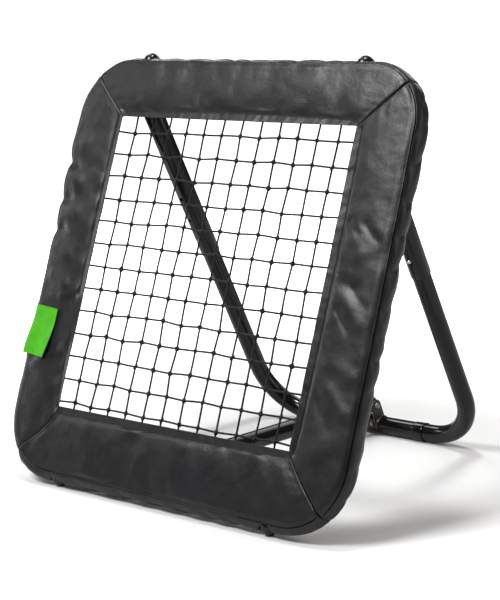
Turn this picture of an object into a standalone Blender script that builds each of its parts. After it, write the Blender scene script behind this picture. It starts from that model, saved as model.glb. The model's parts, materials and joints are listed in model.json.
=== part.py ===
# Rebounder for ball training: a square net in a padded tube frame that leans back
# on a telescopic rear leg frame and one strut.
# Metres, +Z up, front of the net towards -Y, origin on the ground under the middle.
import math

import bmesh
import bpy
from mathutils import Matrix, Vector

# Clearances between neighbours
REST_GAP = 0.0003          # two faces that touch on the real object
SCREW_GAP = 0.0003         # round a screw or a bolt in its hole
PLUG_GAP = 0.0005          # round a plug or a spigot in its tube

# Front frame: two U-shaped halves of round steel tube
FRAME_SIZE = 0.84          # outside of the tube, both ways
FRAME_TUBE_R = 0.019
FRAME_BEND_R = 0.100       # centre line of a corner
FRAME_TILT = math.radians(21.65)
TUBE_WALL = 0.0012
SPIGOT_LENGTH = 0.040      # reduced end of the lower half, inside the upper half
SPIGOT_TAPER = 0.004
FRAME_SIDES = 12
FRAME_BEND_STEPS = 5

# Feet: rubber domes on the outer side of the frame, also on its upper edge
FOOT_R = 0.017
FOOT_TO_BEND = 0.033       # a foot's middle to the start of the frame's corner
FOOT_SKIRT = 0.014         # straight part below the dome
FOOT_FLAT = 0.0005         # worn flat where a foot stands

# Net of square meshes
NET_CELLS = 14
NET_SIDE_GAP = 0.07389    # outermost lines to the tube's axis
NET_END_GAP = 0.08019
NET_SHIFT_X = 0.0070       # the net hangs a little to the right
NET_CORD = 0.0024
NET_BORDER = 0.0032

# Lacing: one cord along each side, wound round the tube and the net's border
LACE_R = 0.0010
LACE_RUN_R = 0.0210        # centre line round the frame tube
LACE_OFF_BORDER = 0.0005   # clear of the net's border cord
LACE_OFF_FACE = 0.0007     # clear of the net's face
LACE_TURNS = 5
LACE_MESHES = 2            # meshes from one turn to the next
LACE_STEP = math.radians(30)

# Cover: four mitred panels that wrap the tube and form a flat band in front
COVER_INNER_R = 0.0224
COVER_CLOTH = 0.0011
COVER_FLAP = 0.031         # back flap, from the tube's axis inwards
BAND_TOP = 0.1005          # inner hems to the tube's axis
BAND_SIDE = 0.1075
BAND_BOTTOM = 0.1156
HEM_DEPTH = 0.0222         # front face of the hem, in front of the net
SEAM_GAP = 0.00025
COVER_ARC = math.radians(30)
COVER_STATION = 0.040
PUCKER_DEPTH = 0.0013
PUCKER_LENGTH = 0.094
PUCKER_FROM = math.radians(-15)
PUCKER_TO = math.radians(75)
COVER_BEND_STEPS = 3
FOOT_HOLE_GAP = 0.0005

# Label tab on the left panel, left blank
TAB_WIDTH = 0.072
TAB_HEIGHT = 0.100
TAB_CLOTH = 0.0010
TAB_GAP = 0.0007           # off the cover, so that its short chords clear the bend
TAB_REACH = 0.0450         # its free edge to the tube's axis
TAB_MIDDLE_Z = -0.1452
TAB_TURN = math.radians(4.6)
TAB_CUTS = (0, 0.35, 0.64, 0.76, 0.88, 1)  # across its width, close together on the bend

# Brackets: a saddle on the tube and two ears with the pivot between them
PIVOT_REACH = 0.044        # tube axis to pivot
SADDLE_SHEET = 0.0020
SADDLE_WIDTH = 0.060
EAR_SHEET = 0.0025
EAR_SPACE = 0.041          # between the ears
EAR_END_R = 0.014
EAR_FOOT = math.radians(62)
REAR_BRACKET_LEAN = math.radians(17.2)
BRACKET_SCREW_X = 0.014
FRAME_SCREW_TURN = math.radians(40)
REAR_SCREW_TURN = math.radians(58)

# Screws and bolts
SCREW_R = 0.0025
SCREW_HEAD_R = 0.0050
SCREW_HEAD_H = 0.0028
SCREW_LENGTH = 0.012
JOINT_SCREW_R = 0.0020
JOINT_SCREW_HEAD_R = 0.0040
JOINT_SCREW_HEAD_H = 0.0018
JOINT_SCREW_LENGTH = 0.007
BOLT_R = 0.0040
BOLT_HEAD_R = 0.0072
BOLT_HEAD_H = 0.0046
BOLT_TAIL = 0.0025         # beyond the nut
BOLT_CHAMFER = 0.0006
NUT_ACROSS = 0.013
NUT_H = 0.0065

# Rear legs: upper tubes with the pivots, lower bent tubes that slide in them
BRACKET_TO_BEND = 0.0007   # a leg bracket's edge to the start of the frame's corner
LEG_LEAN = math.radians(26.4035715)
LEG_UPPER_R = 0.020
LEG_LOWER_R = 0.018
LEG_BEND_R = 0.115
LEG_SIDES = 16
BUTTON_HEIGHT = 0.457      # lock hole in use, from the bar's axis
BUTTON_TO_UPPER_END = 0.041
BUTTON_TO_LOWER_TOP = 0.063
HOLE_PITCH = 0.051
HOLE_COUNT = 3
KNUCKLE_END_R = 0.017
KNUCKLE_THICKNESS = 0.037
KNUCKLE_SHOULDER = 0.022   # tube end below the pivot
KNUCKLE_STEM = 0.035
KNUCKLE_OVERLAP = 0.004    # of the stem with the head it is moulded to

# Spring buttons
BUTTON_R = 0.0040
BUTTON_DOME = 0.0036       # above the upper tube
BUTTON_FLANGE_R = 0.0054
BUTTON_FLANGE_H = 0.0011
SPRING_SHEET = 0.0008
SPRING_OFF_WALL = 0.0018   # flat parts to the middle of the tube's round wall
SPRING_WIDTH = 0.010
SPRING_DROP = 0.045
SPRING_BEND_R = 0.003

# Rear bar with belled ends that the bent tubes plug into
BELL_TO_BEND = 0.0153      # mouth to the start of the leg's bend
BELL_LENGTH = 0.0285
BELL_TAPER = 0.005
BELL_WALL = 0.0012
BELL_LIP = 0.0004          # rolled edge round the mouth
BELL_LIP_START = 0.0030    # from the mouth
BELL_LIP_WIDTH = 0.0024
BAR_PLUG = 0.0015          # bent tube's end to the bell's taper
BAR_SCREW_TO_MOUTH = 0.011

# Strut between the bottom of the frame and the rear bar
STRUT_R = 0.018
STRUT_FRONT_END = 0.010    # beyond the front pivot, cap included
STRUT_REAR_END = 0.012
STRUT_CAP = 0.0015
STRUT_CAP_STEM = 0.0035
STRUT_LOOSE = 0.0022       # round the rear bolt

# What follows from them
HALF = FRAME_SIZE / 2
AXIS = HALF - FRAME_TUBE_R
FRAME_BORE_R = FRAME_TUBE_R - TUBE_WALL
PIVOT_OUT = AXIS - PIVOT_REACH
FRAME_STRAIGHT = AXIS - FRAME_BEND_R
FOOT_X = FRAME_STRAIGHT - FOOT_TO_BEND
NET_PITCH_X = 2 * (AXIS - NET_SIDE_GAP) / NET_CELLS
NET_PITCH_Z = 2 * (AXIS - NET_END_GAP) / NET_CELLS
HEM_TOP = AXIS - BAND_TOP
HEM_SIDE = AXIS - BAND_SIDE
HEM_BOTTOM = AXIS - BAND_BOTTOM
TAB_INNER = AXIS - TAB_REACH
COVER_OUTER_R = COVER_INNER_R + COVER_CLOTH
BELL_BORE_R = LEG_LOWER_R + REST_GAP
BELL_R = BELL_BORE_R + BELL_WALL
BAR_HEIGHT = BELL_R + BELL_LIP
LEG_UPPER_BORE_R = LEG_UPPER_R - TUBE_WALL
LEG_LOWER_BORE_R = LEG_LOWER_R - TUBE_WALL
EAR_OUTSIDE = EAR_SPACE / 2 + EAR_SHEET
LEG_X = FRAME_STRAIGHT - SADDLE_WIDTH / 2 - BRACKET_TO_BEND
LEG_UPPER_END = BUTTON_HEIGHT - BUTTON_TO_UPPER_END
LEG_LOWER_TOP = BUTTON_HEIGHT + BUTTON_TO_LOWER_TOP
BELL_END = LEG_X - LEG_BEND_R - BELL_TO_BEND
BELL_START = BELL_END - BELL_LENGTH
BAR_SCREW_X = BELL_END - BAR_SCREW_TO_MOUTH

frame_height = HALF * math.cos(FRAME_TILT) + FOOT_R - FOOT_FLAT
pivot_y = PIVOT_OUT * math.sin(FRAME_TILT)
pivot_z = frame_height + PIVOT_OUT * math.cos(FRAME_TILT)
leg_length = (pivot_z - BAR_HEIGHT) / math.cos(LEG_LEAN)
bar_y = pivot_y + leg_length * math.sin(LEG_LEAN)
front_y = -HALF * math.sin(FRAME_TILT) - FOOT_R
shift_y = -(front_y + bar_y + BAR_HEIGHT) / 2

frame_centre = Vector((0, shift_y, frame_height))
leg_pivot = Vector((0, pivot_y + shift_y, pivot_z))
bar_centre = Vector((0, bar_y + shift_y, BAR_HEIGHT))
strut_front = Vector((0, shift_y - pivot_y, frame_height - PIVOT_OUT * math.cos(FRAME_TILT)))
rear_lean = Vector((0, -math.sin(REAR_BRACKET_LEAN), math.cos(REAR_BRACKET_LEAN)))
strut_rear = bar_centre + PIVOT_REACH * rear_lean
strut_run = strut_rear - strut_front
strut_angle = math.atan2(strut_run.z, strut_run.y)
strut_length = strut_run.length


def clear_scene():
    for old in list(bpy.data.objects):
        bpy.data.objects.remove(old, do_unlink=True)


def make_material(name, colour, roughness, metallic=0.0):
    material = bpy.data.materials.new(name)
    material.use_nodes = True
    shader = material.node_tree.nodes["Principled BSDF"]
    shader.inputs["Base Color"].default_value = (*colour, 1.0)
    shader.inputs["Roughness"].default_value = roughness
    shader.inputs["Metallic"].default_value = metallic
    material.diffuse_color = (*colour, 1.0)
    return material


def add_empty(name, location, angle):
    empty = bpy.data.objects.new(name, None)
    empty.location = location
    empty.rotation_euler = (angle, 0, 0)
    bpy.context.collection.objects.link(empty)
    return empty


def add_object(name, bm, material, parent=None, location=(0, 0, 0), rotation=(0, 0, 0)):
    bmesh.ops.recalc_face_normals(bm, faces=bm.faces)
    mesh = bpy.data.meshes.new(name)
    bm.to_mesh(mesh)
    bm.free()
    mesh.shade_smooth()
    mesh.set_sharp_from_angle(angle=math.radians(35))
    if material:
        mesh.materials.append(material)
    piece = bpy.data.objects.new(name, mesh)
    piece.parent = parent
    piece.location = location
    piece.rotation_euler = rotation
    bpy.context.collection.objects.link(piece)
    return piece


def add_cutter(name, bm, parent=None, location=(0, 0, 0), rotation=(0, 0, 0)):
    cutter = add_object(name, bm, None, parent, location, rotation)
    cutter.hide_render = True
    cutter.display_type = "WIRE"
    return cutter


def combine(target, tool, operation="DIFFERENCE"):
    modifier = target.modifiers.new(tool.name, "BOOLEAN")
    modifier.operation = operation
    modifier.solver = "EXACT"
    modifier.object = tool


def bridge(bm, first, second, closed=True):
    count = len(first)
    for i in range(count if closed else count - 1):
        j = (i + 1) % count
        bm.faces.new((first[i], first[j], second[j], second[i]))


def turned(profile, sides):
    """Solid of revolution round Z from (radius, height) points; radius 0 makes a tip."""
    bm = bmesh.new()
    rings = []
    for radius, height in profile:
        if radius == 0:
            rings.append([bm.verts.new((0, 0, height))])
            continue
        ring = []
        for i in range(sides):
            angle = 2 * math.pi * i / sides
            ring.append(bm.verts.new((radius * math.cos(angle), radius * math.sin(angle), height)))
        rings.append(ring)
    for first, second in zip(rings, rings[1:]):
        if len(first) == 1:
            for i in range(sides):
                bm.faces.new((first[0], second[i], second[(i + 1) % sides]))
        elif len(second) == 1:
            for i in range(sides):
                bm.faces.new((second[0], first[i], first[(i + 1) % sides]))
        else:
            bridge(bm, first, second)
    for ring in (rings[0], rings[-1]):
        if len(ring) > 1:
            bm.faces.new(ring)
    return bm


def rod(radius, start, end, sides=12):
    return turned([(radius, start), (radius, end)], sides)


def plate(outline, thickness):
    """Flat plate across X, centred on X = 0, from an outline of (y, z) points."""
    bm = bmesh.new()
    sides = []
    for x in (-thickness / 2, thickness / 2):
        sides.append([bm.verts.new((x, y, z)) for y, z in outline])
    bridge(bm, sides[0], sides[1])
    bm.faces.new(sides[0])
    bm.faces.new(sides[1])
    return bm


def box(size_x, size_y, size_z):
    bm = bmesh.new()
    bmesh.ops.create_cube(bm, size=1.0, matrix=Matrix.Diagonal((size_x, size_y, size_z, 1)))
    return bm


def bent_path(corners, bend_radius, steps):
    """Points and directions along straight runs with a round bend at each inner corner."""
    path = [(corners[0], (corners[1] - corners[0]).normalized())]
    for before, corner, after in zip(corners, corners[1:], corners[2:]):
        incoming = (corner - before).normalized()
        outgoing = (after - corner).normalized()
        turn = incoming.angle(outgoing)
        start = corner - incoming * bend_radius * math.tan(turn / 2)
        inward = (outgoing - incoming * incoming.dot(outgoing)).normalized()
        for i in range(steps + 1):
            angle = turn * i / steps
            point = start + bend_radius * (math.sin(angle) * incoming + (1 - math.cos(angle)) * inward)
            path.append((point, math.cos(angle) * incoming + math.sin(angle) * inward))
    path.append((corners[-1], (corners[-1] - corners[-2]).normalized()))
    return path


def hollow_sweep(stations, across, sides):
    """Open-ended tube through (point, direction, outer radius, bore radius) stations."""
    bm = bmesh.new()
    skins = ([], [])
    for point, direction, outer_radius, bore_radius in stations:
        side = across.cross(direction).normalized()
        for rings, radius in zip(skins, (outer_radius, bore_radius)):
            ring = []
            for i in range(sides):
                angle = 2 * math.pi * i / sides
                ring.append(bm.verts.new(point + radius * (math.cos(angle) * side + math.sin(angle) * across)))
            rings.append(ring)
    for rings in skins:
        for first, second in zip(rings, rings[1:]):
            bridge(bm, first, second)
    for end in (0, -1):
        bridge(bm, skins[0][end], skins[1][end])
    return bm


def tube_stations(path, outer_radius, bore_radius):
    return [(point, direction, outer_radius, bore_radius) for point, direction in path]


def frame_tubes(parent, material):
    """Upper half with plain ends, lower half with reduced ends inside them."""
    across = Vector((0, 1, 0))
    upper_corners = [Vector((x, 0, z)) for x, z in ((-AXIS, 0), (-AXIS, AXIS), (AXIS, AXIS), (AXIS, 0))]
    upper_path = bent_path(upper_corners, FRAME_BEND_R, FRAME_BEND_STEPS)
    upper = hollow_sweep(tube_stations(upper_path, FRAME_TUBE_R, FRAME_BORE_R), across, FRAME_SIDES)
    upper = add_object("frame_tube_upper", upper, material, parent)

    shoulder = -REST_GAP - SPIGOT_TAPER
    lower_corners = [
        Vector((x, 0, z)) for x, z in ((-AXIS, shoulder), (-AXIS, -AXIS), (AXIS, -AXIS), (AXIS, shoulder))
    ]
    lower_path = bent_path(lower_corners, FRAME_BEND_R, FRAME_BEND_STEPS)
    spigot_r = FRAME_BORE_R - PLUG_GAP
    down, up = Vector((0, 0, -1)), Vector((0, 0, 1))
    heights = (SPIGOT_LENGTH, -REST_GAP)
    first = [(Vector((-AXIS, 0, z)), down, spigot_r, spigot_r - TUBE_WALL) for z in heights]
    last = [(Vector((AXIS, 0, z)), up, spigot_r, spigot_r - TUBE_WALL) for z in heights[::-1]]
    stations = first + tube_stations(lower_path, FRAME_TUBE_R, FRAME_BORE_R) + last
    lower = hollow_sweep(stations, across, FRAME_SIDES)
    lower = add_object("frame_tube_lower", lower, material, parent)
    return upper, lower


def screw(name, radius, head_radius, head_height, length, material, parent, location, rotation):
    """Round-headed screw along Z with the underside of its head at Z = 0."""
    profile = [
        (0, head_height),
        (head_radius * 0.62, head_height * 0.88),
        (head_radius, head_height * 0.35),
        (head_radius, 0),
        (radius, 0),
        (radius, -length),
    ]
    return add_object(name, turned(profile, 8), material, parent, location, rotation)


def frame_joint_screws(parent, material, upper, lower):
    for side, name in ((-1, "left"), (1, "right")):
        seat = Vector((side * (AXIS - FRAME_TUBE_R - REST_GAP), 0, SPIGOT_LENGTH / 2))
        turn = (0, -side * math.pi / 2, 0)
        screw(
            f"frame_joint_screw_{name}", JOINT_SCREW_R, JOINT_SCREW_HEAD_R, JOINT_SCREW_HEAD_H,
            JOINT_SCREW_LENGTH, material, parent, seat, turn,
        )
        hole = rod(JOINT_SCREW_R + SCREW_GAP, -JOINT_SCREW_LENGTH - SCREW_GAP, JOINT_SCREW_HEAD_H, 10)
        cutter = add_cutter(f"frame_joint_hole_{name}", hole, parent, seat, turn)
        combine(upper, cutter)
        combine(lower, cutter)


def net(parent, material):
    """Flat lattice of crossing cords, as one body with open meshes."""
    def lines(pitch, shift):
        edges = []
        for i in range(NET_CELLS + 1):
            width = NET_BORDER if i in (0, NET_CELLS) else NET_CORD
            middle = shift + (i - NET_CELLS / 2) * pitch
            edges += [middle - width / 2, middle + width / 2]
        return edges

    bm = bmesh.new()
    xs = lines(NET_PITCH_X, NET_SHIFT_X)
    zs = lines(NET_PITCH_Z, 0.0)
    layers = []
    for y in (-NET_CORD / 2, NET_CORD / 2):
        layers.append([[bm.verts.new((x, y, z)) for z in zs] for x in xs])

    def solid(i, j):
        inside = 0 <= i < len(xs) - 1 and 0 <= j < len(zs) - 1
        return inside and (i % 2 == 0 or j % 2 == 0)

    for i in range(len(xs) - 1):
        for j in range(len(zs) - 1):
            if not solid(i, j):
                continue
            for layer in layers:
                bm.faces.new((layer[i][j], layer[i + 1][j], layer[i + 1][j + 1], layer[i][j + 1]))
            walls = (
                (solid(i - 1, j), (i, j), (i, j + 1)),
                (solid(i + 1, j), (i + 1, j), (i + 1, j + 1)),
                (solid(i, j - 1), (i, j), (i + 1, j)),
                (solid(i, j + 1), (i, j + 1), (i + 1, j + 1)),
            )
            for joined, a, b in walls:
                if not joined:
                    front, back = layers
                    bm.faces.new((front[a[0]][a[1]], front[b[0]][b[1]], back[b[0]][b[1]], back[a[0]][a[1]]))
    return add_object("net", bm, material, parent)


def lacing(name, quarter, border, pitch, shift, keep_clear, parent, material):
    """Cord wound round tube and border through the meshes, past any bracket."""
    inside = border - NET_BORDER / 2 - LACE_R - LACE_OFF_BORDER
    leave = inside + LACE_OFF_BORDER
    depth = NET_CORD / 2 + LACE_R + LACE_OFF_FACE
    steps = round(math.pi / LACE_STEP)
    step = LACE_MESHES * pitch
    places = [shift + pitch / 2 + (turn - LACE_TURNS // 2) * step for turn in range(LACE_TURNS)]
    places = [place for place in places if abs(place) > keep_clear]
    route = [(places[0], 0.0, inside), (places[0], -depth, leave)]
    for start, following in zip(places, places[1:]):
        for i in range(steps + 1):
            angle = -math.pi / 2 + math.pi * i / steps
            along = start + (following - start) * i / steps
            route.append((along, LACE_RUN_R * math.sin(angle), AXIS + LACE_RUN_R * math.cos(angle)))
        route.append((following, depth, leave))
        route.append((following, 0.0, inside))
        route.append((following, -depth, leave))
    curve = bpy.data.curves.new(name, "CURVE")
    curve.dimensions = "3D"
    curve.bevel_depth = LACE_R
    curve.bevel_resolution = 0
    curve.use_fill_caps = True
    spline = curve.splines.new("POLY")
    spline.points.add(len(route) - 1)
    for point, place in zip(spline.points, route):
        point.co = (*place, 1)
    curve.materials.append(material)
    cord = bpy.data.objects.new(name, curve)
    cord.parent = parent
    cord.rotation_euler = (0, quarter * math.pi / 2, 0)
    bpy.context.collection.objects.link(cord)
    return cord


def pucker(along, angle, phase):
    """How far the gathered side cloth stands out, in gathers of unlike length."""
    if not PUCKER_FROM <= angle <= PUCKER_TO:
        return 0.0
    wave = math.sin(2 * math.pi * along / PUCKER_LENGTH + phase)
    wave += 0.6 * math.sin(2 * math.pi * along / (PUCKER_LENGTH * 1.61) + 2.1 * phase)
    return PUCKER_DEPTH * max(0.0, 0.5 + 0.5 * wave)


def cover_panel(name, quarter, hem, hem_before, hem_after, phase, parent, material):
    """One mitred side: hem, flat front band, wrap round the tube and back flap.

    It is built as the top panel, with the side along X, and turned by quarters.
    """
    straight = AXIS - FRAME_BEND_R
    quarter_bend = math.pi / 4
    half_length = straight + FRAME_BEND_R * quarter_bend
    runs = max(2, round(2 * straight / COVER_STATION))
    places = [-straight + 2 * straight * i / runs for i in range(runs + 1)]
    bend = [FRAME_BEND_R * quarter_bend * (i + 1) / COVER_BEND_STEPS for i in range(COVER_BEND_STEPS)]
    places = [-straight - b for b in bend[::-1]] + places + [straight + b for b in bend]
    arc_steps = round(math.pi / COVER_ARC)
    angles = [-math.pi / 2 + math.pi * i / arc_steps for i in range(arc_steps + 1)]

    bm = bmesh.new()
    outer_rings, inner_rings = [], []
    for place in places:
        past = max(0.0, abs(place) - straight)
        side = 1 if place > 0 else -1
        bend_angle = side * past / FRAME_BEND_R
        centre_x = max(-straight, min(straight, place)) + FRAME_BEND_R * math.sin(bend_angle)
        centre_z = straight + FRAME_BEND_R * math.cos(bend_angle)
        hem_corner = hem_after if place > 0 else hem_before
        hem_x = hem_corner * place / half_length
        at_mitre = abs(abs(place) - half_length) < 1e-9
        pull = side * SEAM_GAP if at_mitre else 0.0

        def spot(out, back):
            return (
                centre_x + out * math.sin(bend_angle) - pull,
                back,
                centre_z + out * math.cos(bend_angle),
            )

        for rings, radius, hem_y in (
            (outer_rings, COVER_OUTER_R, -HEM_DEPTH),
            (inner_rings, COVER_INNER_R, -HEM_DEPTH + COVER_CLOTH),
        ):
            ring = [bm.verts.new((hem_x - pull, hem_y, hem))]
            for angle in angles:
                swell = radius + (0.0 if at_mitre else pucker(place, angle, phase))
                ring.append(bm.verts.new(spot(swell * math.cos(angle), swell * math.sin(angle))))
            ring.append(bm.verts.new(spot(-COVER_FLAP, radius)))
            rings.append(ring)
    for rings in (outer_rings, inner_rings):
        for first, second in zip(rings, rings[1:]):
            bridge(bm, first, second, closed=False)
    for edge in (0, -1):
        bridge(bm, [r[edge] for r in outer_rings], [r[edge] for r in inner_rings], closed=False)
        bridge(bm, outer_rings[edge], inner_rings[edge], closed=False)
    return add_object(name, bm, material, parent, rotation=(0, quarter * math.pi / 2, 0))


def cover(parent, material):
    """Four panels; each one's hem ends where its neighbours' hems begin."""
    hems = (("top", HEM_TOP), ("right", HEM_SIDE), ("bottom", HEM_BOTTOM), ("left", HEM_SIDE))
    panels = {}
    for i, (side, hem) in enumerate(hems):
        before = hems[i - 1][1]
        after = hems[(i + 1) % 4][1]
        panels[side] = cover_panel(f"cover_{side}", i, hem, before, after, 0.7 + 1.9 * i, parent, material)
    return panels


def label_tab(parent, material):
    """Blank tab laid on the left panel and folded round its outer edge, a little askew."""
    bm = bmesh.new()
    inner_radius = COVER_OUTER_R + TAB_GAP
    flat = AXIS - TAB_INNER
    cuts = [-flat + TAB_WIDTH * t for t in TAB_CUTS]
    rows = (-TAB_HEIGHT / 2, TAB_HEIGHT / 2)
    middle = TAB_WIDTH / 2 - flat
    skins = []
    for radius in (inner_radius, inner_radius + TAB_CLOTH):
        grid = []
        for row in rows:
            line = []
            for cut in cuts:
                across = cut - middle
                out = middle + across * math.cos(TAB_TURN) - row * math.sin(TAB_TURN)
                up = TAB_MIDDLE_Z + across * math.sin(TAB_TURN) + row * math.cos(TAB_TURN)
                angle = max(0.0, out) / COVER_OUTER_R
                x = -(AXIS + min(0.0, out) + radius * math.sin(angle))
                line.append(bm.verts.new((x, -radius * math.cos(angle), up)))
            grid.append(line)
        skins.append(grid)
        bridge(bm, grid[0], grid[1], closed=False)
    for row in (0, 1):
        bridge(bm, skins[0][row], skins[1][row], closed=False)
    for end in (0, -1):
        bm.faces.new((skins[0][0][end], skins[0][1][end], skins[1][1][end], skins[1][0][end]))
    return add_object("label_tab", bm, material, parent)


def feet(parent, material, panels):
    """Domes seated on the tube through holes in the cover; the lower two stand flat."""
    profile = [(FOOT_R, -FOOT_SKIRT)]
    steps = 5
    for i in range(steps):
        angle = math.pi / 2 * i / steps
        profile.append((FOOT_R * math.cos(angle), FOOT_R * math.sin(angle)))
    profile.append((0, FOOT_R))
    ground = add_cutter("cutter_ground", box(FRAME_SIZE, FRAME_SIZE, 2 * FOOT_R), None, (0, 0, -FOOT_R))
    for level, up in (("top", 1), ("bottom", -1)):
        turn = (0 if up > 0 else math.pi, 0, 0)
        bore = rod(FRAME_TUBE_R + REST_GAP, -AXIS, AXIS, 24)
        tube_cutter = add_cutter(
            f"cutter_{level}_tube", bore, parent, (0, 0, up * AXIS), (0, math.pi / 2, 0)
        )
        for side, name in ((-1, "left"), (1, "right")):
            seat = (side * FOOT_X, 0, up * HALF)
            foot = add_object(f"foot_{level}_{name}", turned(profile, 14), material, parent, seat, turn)
            combine(foot, tube_cutter)
            if up < 0:
                combine(foot, ground)
            hole = rod(FOOT_R + FOOT_HOLE_GAP, -FOOT_SKIRT, FOOT_R, 16)
            combine(panels[level], add_cutter(f"cutter_hole_{level}_{name}", hole, parent, seat, turn))


def arc(centre_y, centre_z, radius, start, end, steps):
    """Points (y, z) round a centre; angles from +Z towards +Y."""
    points = []
    for i in range(steps + 1):
        angle = start + (end - start) * i / steps
        points.append((centre_y + radius * math.sin(angle), centre_z + radius * math.cos(angle)))
    return points


def bracket(name, tube_radius, parent, location, turn, material):
    """Half saddle on a tube along X with two ears towards local +Z."""
    inner_r = tube_radius + REST_GAP
    outer_r = inner_r + SADDLE_SHEET
    quarter = math.pi / 2
    ring = arc(0, 0, outer_r, -quarter, quarter, 12) + arc(0, 0, inner_r, quarter, -quarter, 12)
    saddle = add_object(name, plate(ring, SADDLE_WIDTH), material, parent, location, (turn, 0, 0))

    foot_r = inner_r + SADDLE_SHEET / 2
    foot_y = foot_r * math.sin(EAR_FOOT)
    foot_z = foot_r * math.cos(EAR_FOOT)
    away = math.atan2(foot_y, foot_z - PIVOT_REACH)
    tangent = away - math.acos(EAR_END_R / math.hypot(foot_y, PIVOT_REACH - foot_z))
    outline = arc(0, PIVOT_REACH, EAR_END_R, -tangent, tangent, 8)
    outline += arc(0, 0, foot_r, EAR_FOOT, -EAR_FOOT, 8)
    for side in (-1, 1):
        ear = add_cutter(
            f"{name}_ear_{side}", plate(outline, EAR_SHEET), saddle,
            (side * (EAR_SPACE + EAR_SHEET) / 2, 0, 0),
        )
        combine(saddle, ear, "UNION")
    hole = rod(BOLT_R + SCREW_GAP, -SADDLE_WIDTH / 2, SADDLE_WIDTH / 2)
    cutter = add_cutter(f"{name}_pivot_hole", hole, saddle, (0, 0, PIVOT_REACH), (0, quarter, 0))
    combine(saddle, cutter)
    return saddle


def bracket_screws(name, saddle, tube, tube_radius, around, material, parent):
    """Two screws through the saddle into the tube, turned away from the ears' direction."""
    seat_r = tube_radius + REST_GAP + SADDLE_SHEET + REST_GAP
    base = Vector(saddle.location)
    turn = saddle.rotation_euler.x + around
    direction = Vector((0, -math.sin(turn), math.cos(turn)))
    for side, end in ((-1, "left"), (1, "right")):
        seat = base + Vector((side * BRACKET_SCREW_X, 0, 0)) + direction * seat_r
        screw(
            f"{name}_{end}", SCREW_R, SCREW_HEAD_R, SCREW_HEAD_H, SCREW_LENGTH,
            material, parent, seat, (turn, 0, 0),
        )
        hole = rod(SCREW_R + SCREW_GAP, -SCREW_LENGTH, SCREW_HEAD_H, 10)
        cutter = add_cutter(f"{name}_hole_{end}", hole, parent, seat, (turn, 0, 0))
        combine(saddle, cutter)
        combine(tube, cutter)


def pivot_bolt(name, parent, location, outward, steel):
    """Bolt along X through both ears; its round head is on the outward side."""
    head = EAR_OUTSIDE + REST_GAP
    tip = head + NUT_H + BOLT_TAIL
    profile = [
        (0, head + BOLT_HEAD_H),
        (BOLT_HEAD_R * 0.55, head + BOLT_HEAD_H * 0.9),
        (BOLT_HEAD_R * 0.9, head + BOLT_HEAD_H * 0.55),
        (BOLT_HEAD_R, head + BOLT_HEAD_H * 0.2),
        (BOLT_HEAD_R, head),
        (BOLT_R, head),
        (BOLT_R, -tip + BOLT_CHAMFER),
        (BOLT_R - BOLT_CHAMFER, -tip),
    ]
    turn = (0, outward * math.pi / 2, 0)
    add_object(f"{name}_bolt", turned(profile, 12), steel, parent, location, turn)
    nut = rod(NUT_ACROSS / math.sqrt(3), -head - NUT_H, -head, 6)
    nut = add_object(f"{name}_nut", nut, steel, parent, location, turn)
    bore = rod(BOLT_R + SCREW_GAP, -tip, 0)
    combine(nut, add_cutter(f"{name}_nut_bore", bore, parent, location, turn))


def upper_leg(name, side, parent, frame_parent, tube_material, plug_material, zinc):
    """Straight tube with lock holes in its front and a rounded pivot end."""
    across = Vector((0, 1, 0))
    bottom = LEG_UPPER_END - leg_length
    path = [(Vector((0, 0, z)), Vector((0, 0, 1))) for z in (bottom, -KNUCKLE_SHOULDER)]
    tube = hollow_sweep(tube_stations(path, LEG_UPPER_R, LEG_UPPER_BORE_R), across, LEG_SIDES)
    place = (side * LEG_X, 0, 0)
    tube = add_object(f"leg_upper_tube_{name}", tube, tube_material, parent, place)
    for i in range(HOLE_COUNT):
        height = BUTTON_HEIGHT + HOLE_PITCH * i - leg_length
        hole = rod(BUTTON_R + SCREW_GAP, 0, 1.5 * LEG_UPPER_R)
        seat = (side * LEG_X, 0, height)
        combine(tube, add_cutter(f"lock_hole_{name}_{i}", hole, parent, seat, (math.pi / 2, 0, 0)))

    outline = arc(0, 0, KNUCKLE_END_R, -math.pi / 2, math.pi / 2, 10)
    outline += [(KNUCKLE_END_R, -KNUCKLE_SHOULDER), (-KNUCKLE_END_R, -KNUCKLE_SHOULDER)]
    knuckle = plate(outline, KNUCKLE_THICKNESS)
    knuckle = add_object(f"leg_pivot_end_{name}", knuckle, plug_material, parent, place)
    stem_r = LEG_UPPER_BORE_R - PLUG_GAP
    stem = rod(stem_r, -KNUCKLE_SHOULDER - KNUCKLE_STEM, -KNUCKLE_SHOULDER + KNUCKLE_OVERLAP, LEG_SIDES)
    combine(knuckle, add_cutter(f"leg_pivot_stem_{name}", stem, parent, place), "UNION")
    bore = rod(BOLT_R + SCREW_GAP, -LEG_UPPER_R, LEG_UPPER_R)
    bore = add_cutter(f"leg_pivot_bore_{name}", bore, parent, place, (0, math.pi / 2, 0))
    combine(knuckle, bore)
    pivot_bolt(f"leg_pivot_{name}", frame_parent, (side * LEG_X, 0, PIVOT_OUT), side, zinc)


def lower_leg(name, side, parent, material):
    """Tube that leaves the rear bar along X and bends up into the leg."""
    across = Vector((0, 1, 0))
    start = BELL_START + BELL_TAPER + BAR_PLUG
    corners = [Vector((side * x, 0, z)) for x, z in ((start, 0), (LEG_X, 0), (LEG_X, LEG_LOWER_TOP))]
    path = bent_path(corners, LEG_BEND_R, 9)
    tube = hollow_sweep(tube_stations(path, LEG_LOWER_R, LEG_LOWER_BORE_R), across, LEG_SIDES)
    tube = add_object(f"leg_lower_tube_{name}", tube, material, parent)
    hole = rod(BUTTON_R + SCREW_GAP, 0, 1.5 * LEG_LOWER_R)
    seat = (side * LEG_X, 0, BUTTON_HEIGHT)
    combine(tube, add_cutter(f"button_hole_{name}", hole, parent, seat, (math.pi / 2, 0, 0)))
    return tube


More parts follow.
